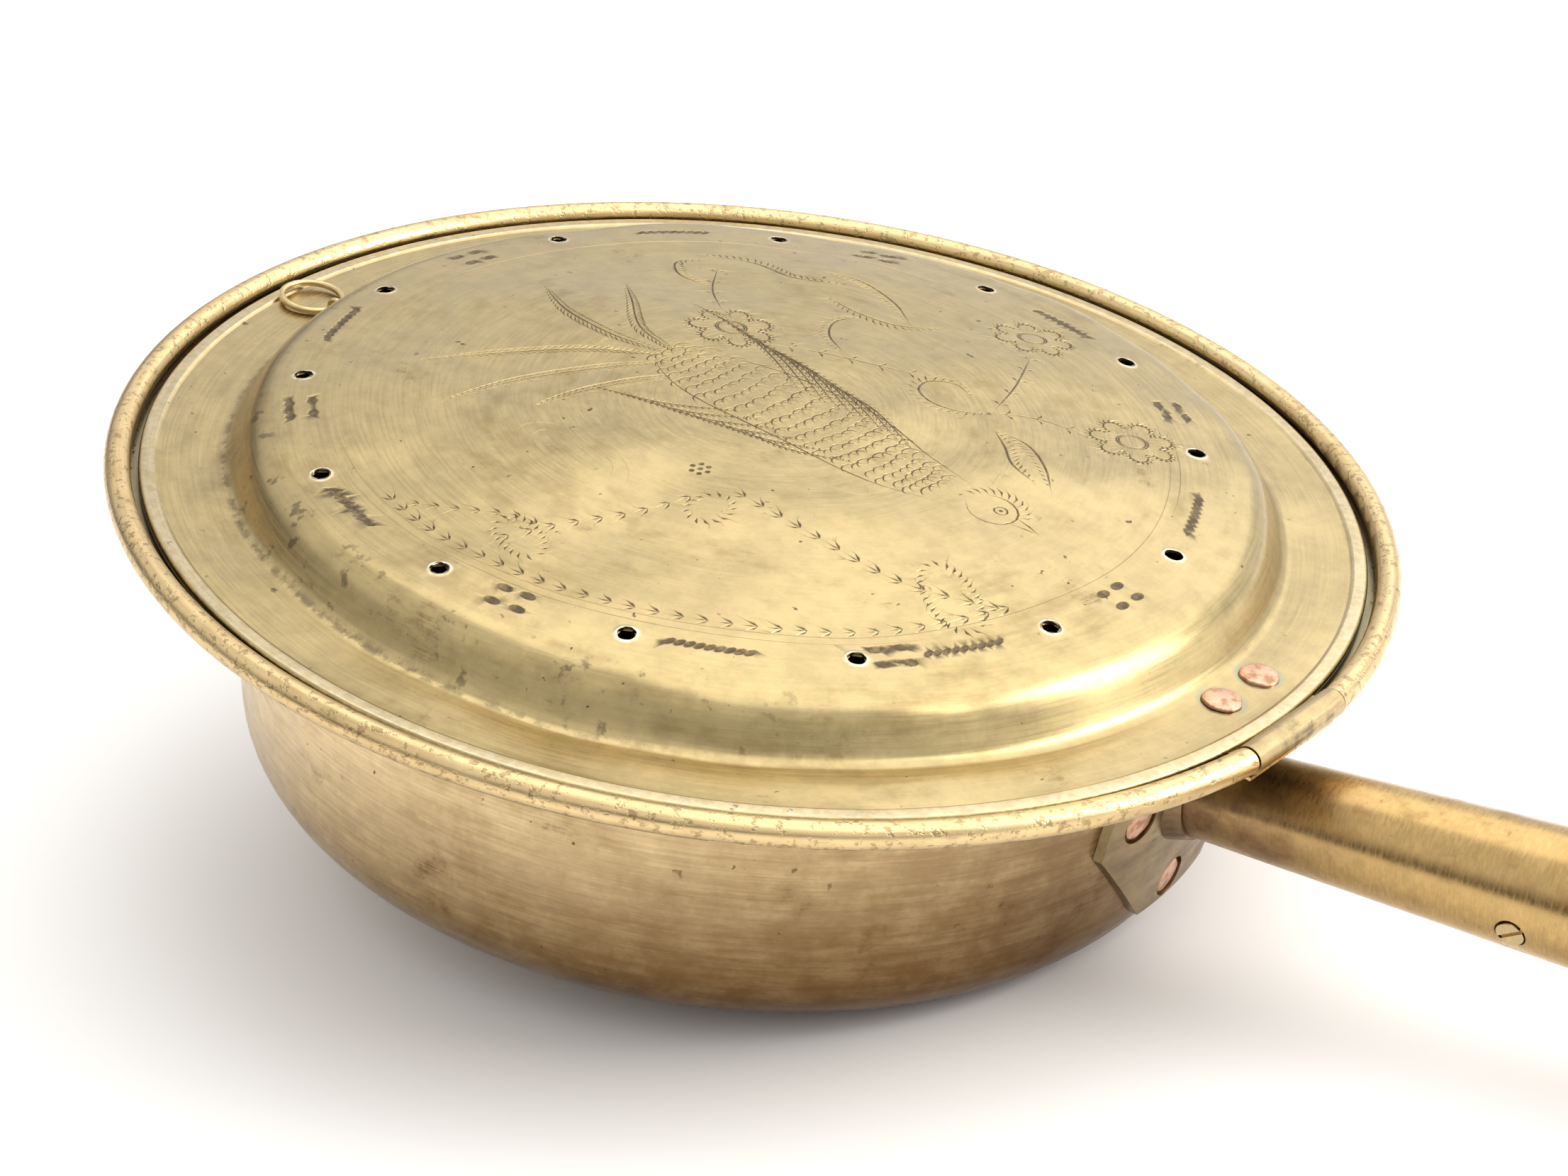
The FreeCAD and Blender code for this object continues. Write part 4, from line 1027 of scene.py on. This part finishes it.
def make_rivets(finish):
    """Hammered rivets for the hinge strap and the handle plate."""
    for seed, (node, (across, along)) in enumerate(LID_RIVETS.items()):
        where = HINGE @ Matrix.Translation((across, along, FLANGE_TOP))
        new_piece(hammered_rivet(node, where, "lid", seed + 2), "lid", "copper", finish, node)
    for seed, (node, spot) in enumerate(PLATE_RIVETS.items()):
        where = plate_place(*spot) @ Matrix.Translation((0, 0, -PLATE_WELL))
        new_piece(hammered_rivet(node, where, "pan", seed + 9), "pan", "copper", finish, node)


# Frame; bright, dull and stained colours; tarnish, stains, specks, roughness and brushing; details
BRASSES = {
    "pan_brass": (PAN, (0.88, 0.68, 0.38), (0.62, 0.45, 0.23), (0.27, 0.165, 0.08),
                  (0.5, 0.5, 0.7, 0.3, 0.6), pan_details),
    "plate_brass": (PAN, (0.34, 0.25, 0.125), (0.2, 0.14, 0.075), (0.11, 0.07, 0.036),
                    (0.7, 0.7, 0.5, 0.32, 0.3)),
    "strap_brass": (LID, (0.46, 0.35, 0.18), (0.3, 0.22, 0.115), (0.14, 0.11, 0.065),
                    (0.6, 0.6, 0.7, 0.3, 0.3)),
    "socket_brass": (SOCKET, (0.52, 0.345, 0.14), (0.37, 0.225, 0.085), (0.22, 0.11, 0.045),
                     (0.5, 0.45, 0.5, 0.25, 0.5), socket_details),
    "collar_bronze": (SOCKET, (0.28, 0.19, 0.105), (0.17, 0.11, 0.065), (0.09, 0.055, 0.035),
                      (0.7, 0.8, 0.8, 0.4, 0.2)),
    "screw_brass": (SOCKET, (0.66, 0.5, 0.27), (0.44, 0.32, 0.16), (0.24, 0.16, 0.08),
                    (0.4, 0.4, 0.4, 0.26, 0.3)),
    "fitting_brass": (PAN, (0.6, 0.46, 0.235), (0.38, 0.275, 0.14), (0.2, 0.13, 0.065),
                      (0.5, 0.4, 0.4, 0.27, 0.3)),
    "lid_brass": (LID, (0.465, 0.36, 0.175), (0.345, 0.255, 0.115), (0.215, 0.145, 0.066),
                  (0.45, 0.4, 0.6, 0.28, 0.3), lid_details),
}
FINISHES = {
    "pan_bowl": "pan_brass", "handle_plate": "plate_brass", "hinge_strap": "strap_brass",
    "socket_collar": "collar_bronze", "socket_tube": "socket_brass",
    "socket_mouth_ring": "socket_brass", "socket_screw": "screw_brass",
    "rim_wire": "iron", "wooden_handle": "wood",
    **dict.fromkeys(("hanging_eye", "hanging_ring", "ring_eye", "lift_ring"), "fitting_brass"),
}


def dress_frame(finishes):
    """Finishes for every CAD node that is shown as it is."""
    for node, finish in FINISHES.items():
        dress(frame["nodes"][node], finishes[finish])


# ---- stage, light and camera

def make_stage():
    """Wide, flat, pale floor."""
    reach = 12.0
    mesh = bpy.data.meshes.new("stage_floor")
    mesh.from_pydata([(-reach, -reach, 0), (reach, -reach, 0), (reach, reach, 0), (-reach, reach, 0)],
                     [], [(0, 1, 2, 3)])
    made, net = material("paper")
    shader = net.tree.nodes["Principled BSDF"]
    cloud = net.noise(net.add("ShaderNodeTexCoord").outputs["Object"], 1.4, 3.0, 0.5)
    colour = net.blend(cloud, (0.95, 0.94, 0.93), (0.96, 0.955, 0.95))
    net.tree.links.new(colour, shader.inputs["Base Color"])
    shader.inputs["Roughness"].default_value = 0.6
    shader.inputs["Specular IOR Level"].default_value = 0.25
    mesh.materials.append(made)
    shown("stage_floor", mesh)


WORLD_STRENGTH = 1.1
BRIGHT_SIDE = (0.62, 0.78, 0)


def make_world():
    """White studio: bright overhead, dark low down at the front and the left."""
    world = bpy.data.worlds.new("studio")
    bpy.context.scene.world = world
    world.use_nodes = True
    net = Net(world.node_tree)
    background = world.node_tree.nodes["Background"]
    direction = net.add("ShaderNodeTexCoord").outputs["Generated"]
    height = net.add("ShaderNodeSeparateXYZ", [(0, direction)]).outputs[2]
    behind = net.vector("DOT_PRODUCT", "Value", direction, BRIGHT_SIDE)
    raised = net.plus(height, net.times(net.span(behind, -0.2, 0.9), 0.55))
    colour = net.blend(net.span(raised, 0.06, 0.54), (0.085, 0.075, 0.065), (1.0, 0.995, 0.985))
    world.node_tree.links.new(colour, background.inputs["Color"])
    background.inputs["Strength"].default_value = WORLD_STRENGTH


def soft_box(name, place_at, aim_at, wide, tall, power):
    """A rectangular area light that faces a point."""
    data = bpy.data.lights.new(name, "AREA")
    data.shape = "RECTANGLE"
    data.size, data.size_y = wide, tall
    data.energy = power
    data.color = (1.0, 0.99, 0.975)
    light = shown(name, data)
    light.visible_camera = False
    light.location = place_at
    light.rotation_euler = (aim_at - place_at).to_track_quat("-Z", "Y").to_euler()


def make_lights():
    """Large softboxes, one overhead and one behind on the right."""
    target = pan_origin + upright * 0.08
    soft_box("overhead", target + Vector((0.5, 0.7, 1.7)), target, 3.4, 3.0, 40)
    soft_box("back_right", target + Vector((1.7, 0.8, 0.9)), target, 1.0, 1.4, 26)


CAMERA_AZIMUTH = radians(32.49)
CAMERA_ELEVATION = radians(25.26)
CAMERA_ROLL = radians(1.615)
CAMERA_DISTANCE = 0.8129
CAMERA_AIM = pan_origin + Vector((0.0362, -0.0288, 0.0641))
CAMERA_LENS = 81.37


def make_camera():
    """Camera at the front right, looking down on the lid, a little rolled."""
    data = bpy.data.cameras.new("camera")
    data.lens = CAMERA_LENS
    data.sensor_width = 36
    data.clip_start = 0.05
    data.clip_end = 50
    camera = shown("camera", data)
    level = cos(CAMERA_ELEVATION)
    back = Vector((sin(CAMERA_AZIMUTH) * level, -cos(CAMERA_AZIMUTH) * level,
                   sin(CAMERA_ELEVATION)))
    facing = (-back).to_track_quat("-Z", "Y").to_matrix()
    camera.matrix_world = (Matrix.Translation(CAMERA_AIM + back * CAMERA_DISTANCE)
                           @ facing.to_4x4() @ Matrix.Rotation(-CAMERA_ROLL, 4, "Z"))
    bpy.context.scene.camera = camera


make_camera()
make_world()
make_lights()
make_stage()
finishes = {name: brass(name, *look) for name, look in BRASSES.items()}
finishes.update(iron=iron_metal(), wood=turned_wood())
dress_frame(finishes)
make_lid(finishes["lid_brass"])
make_rivets(copper_metal())
bpy.context.scene.view_settings.view_transform = "Standard"
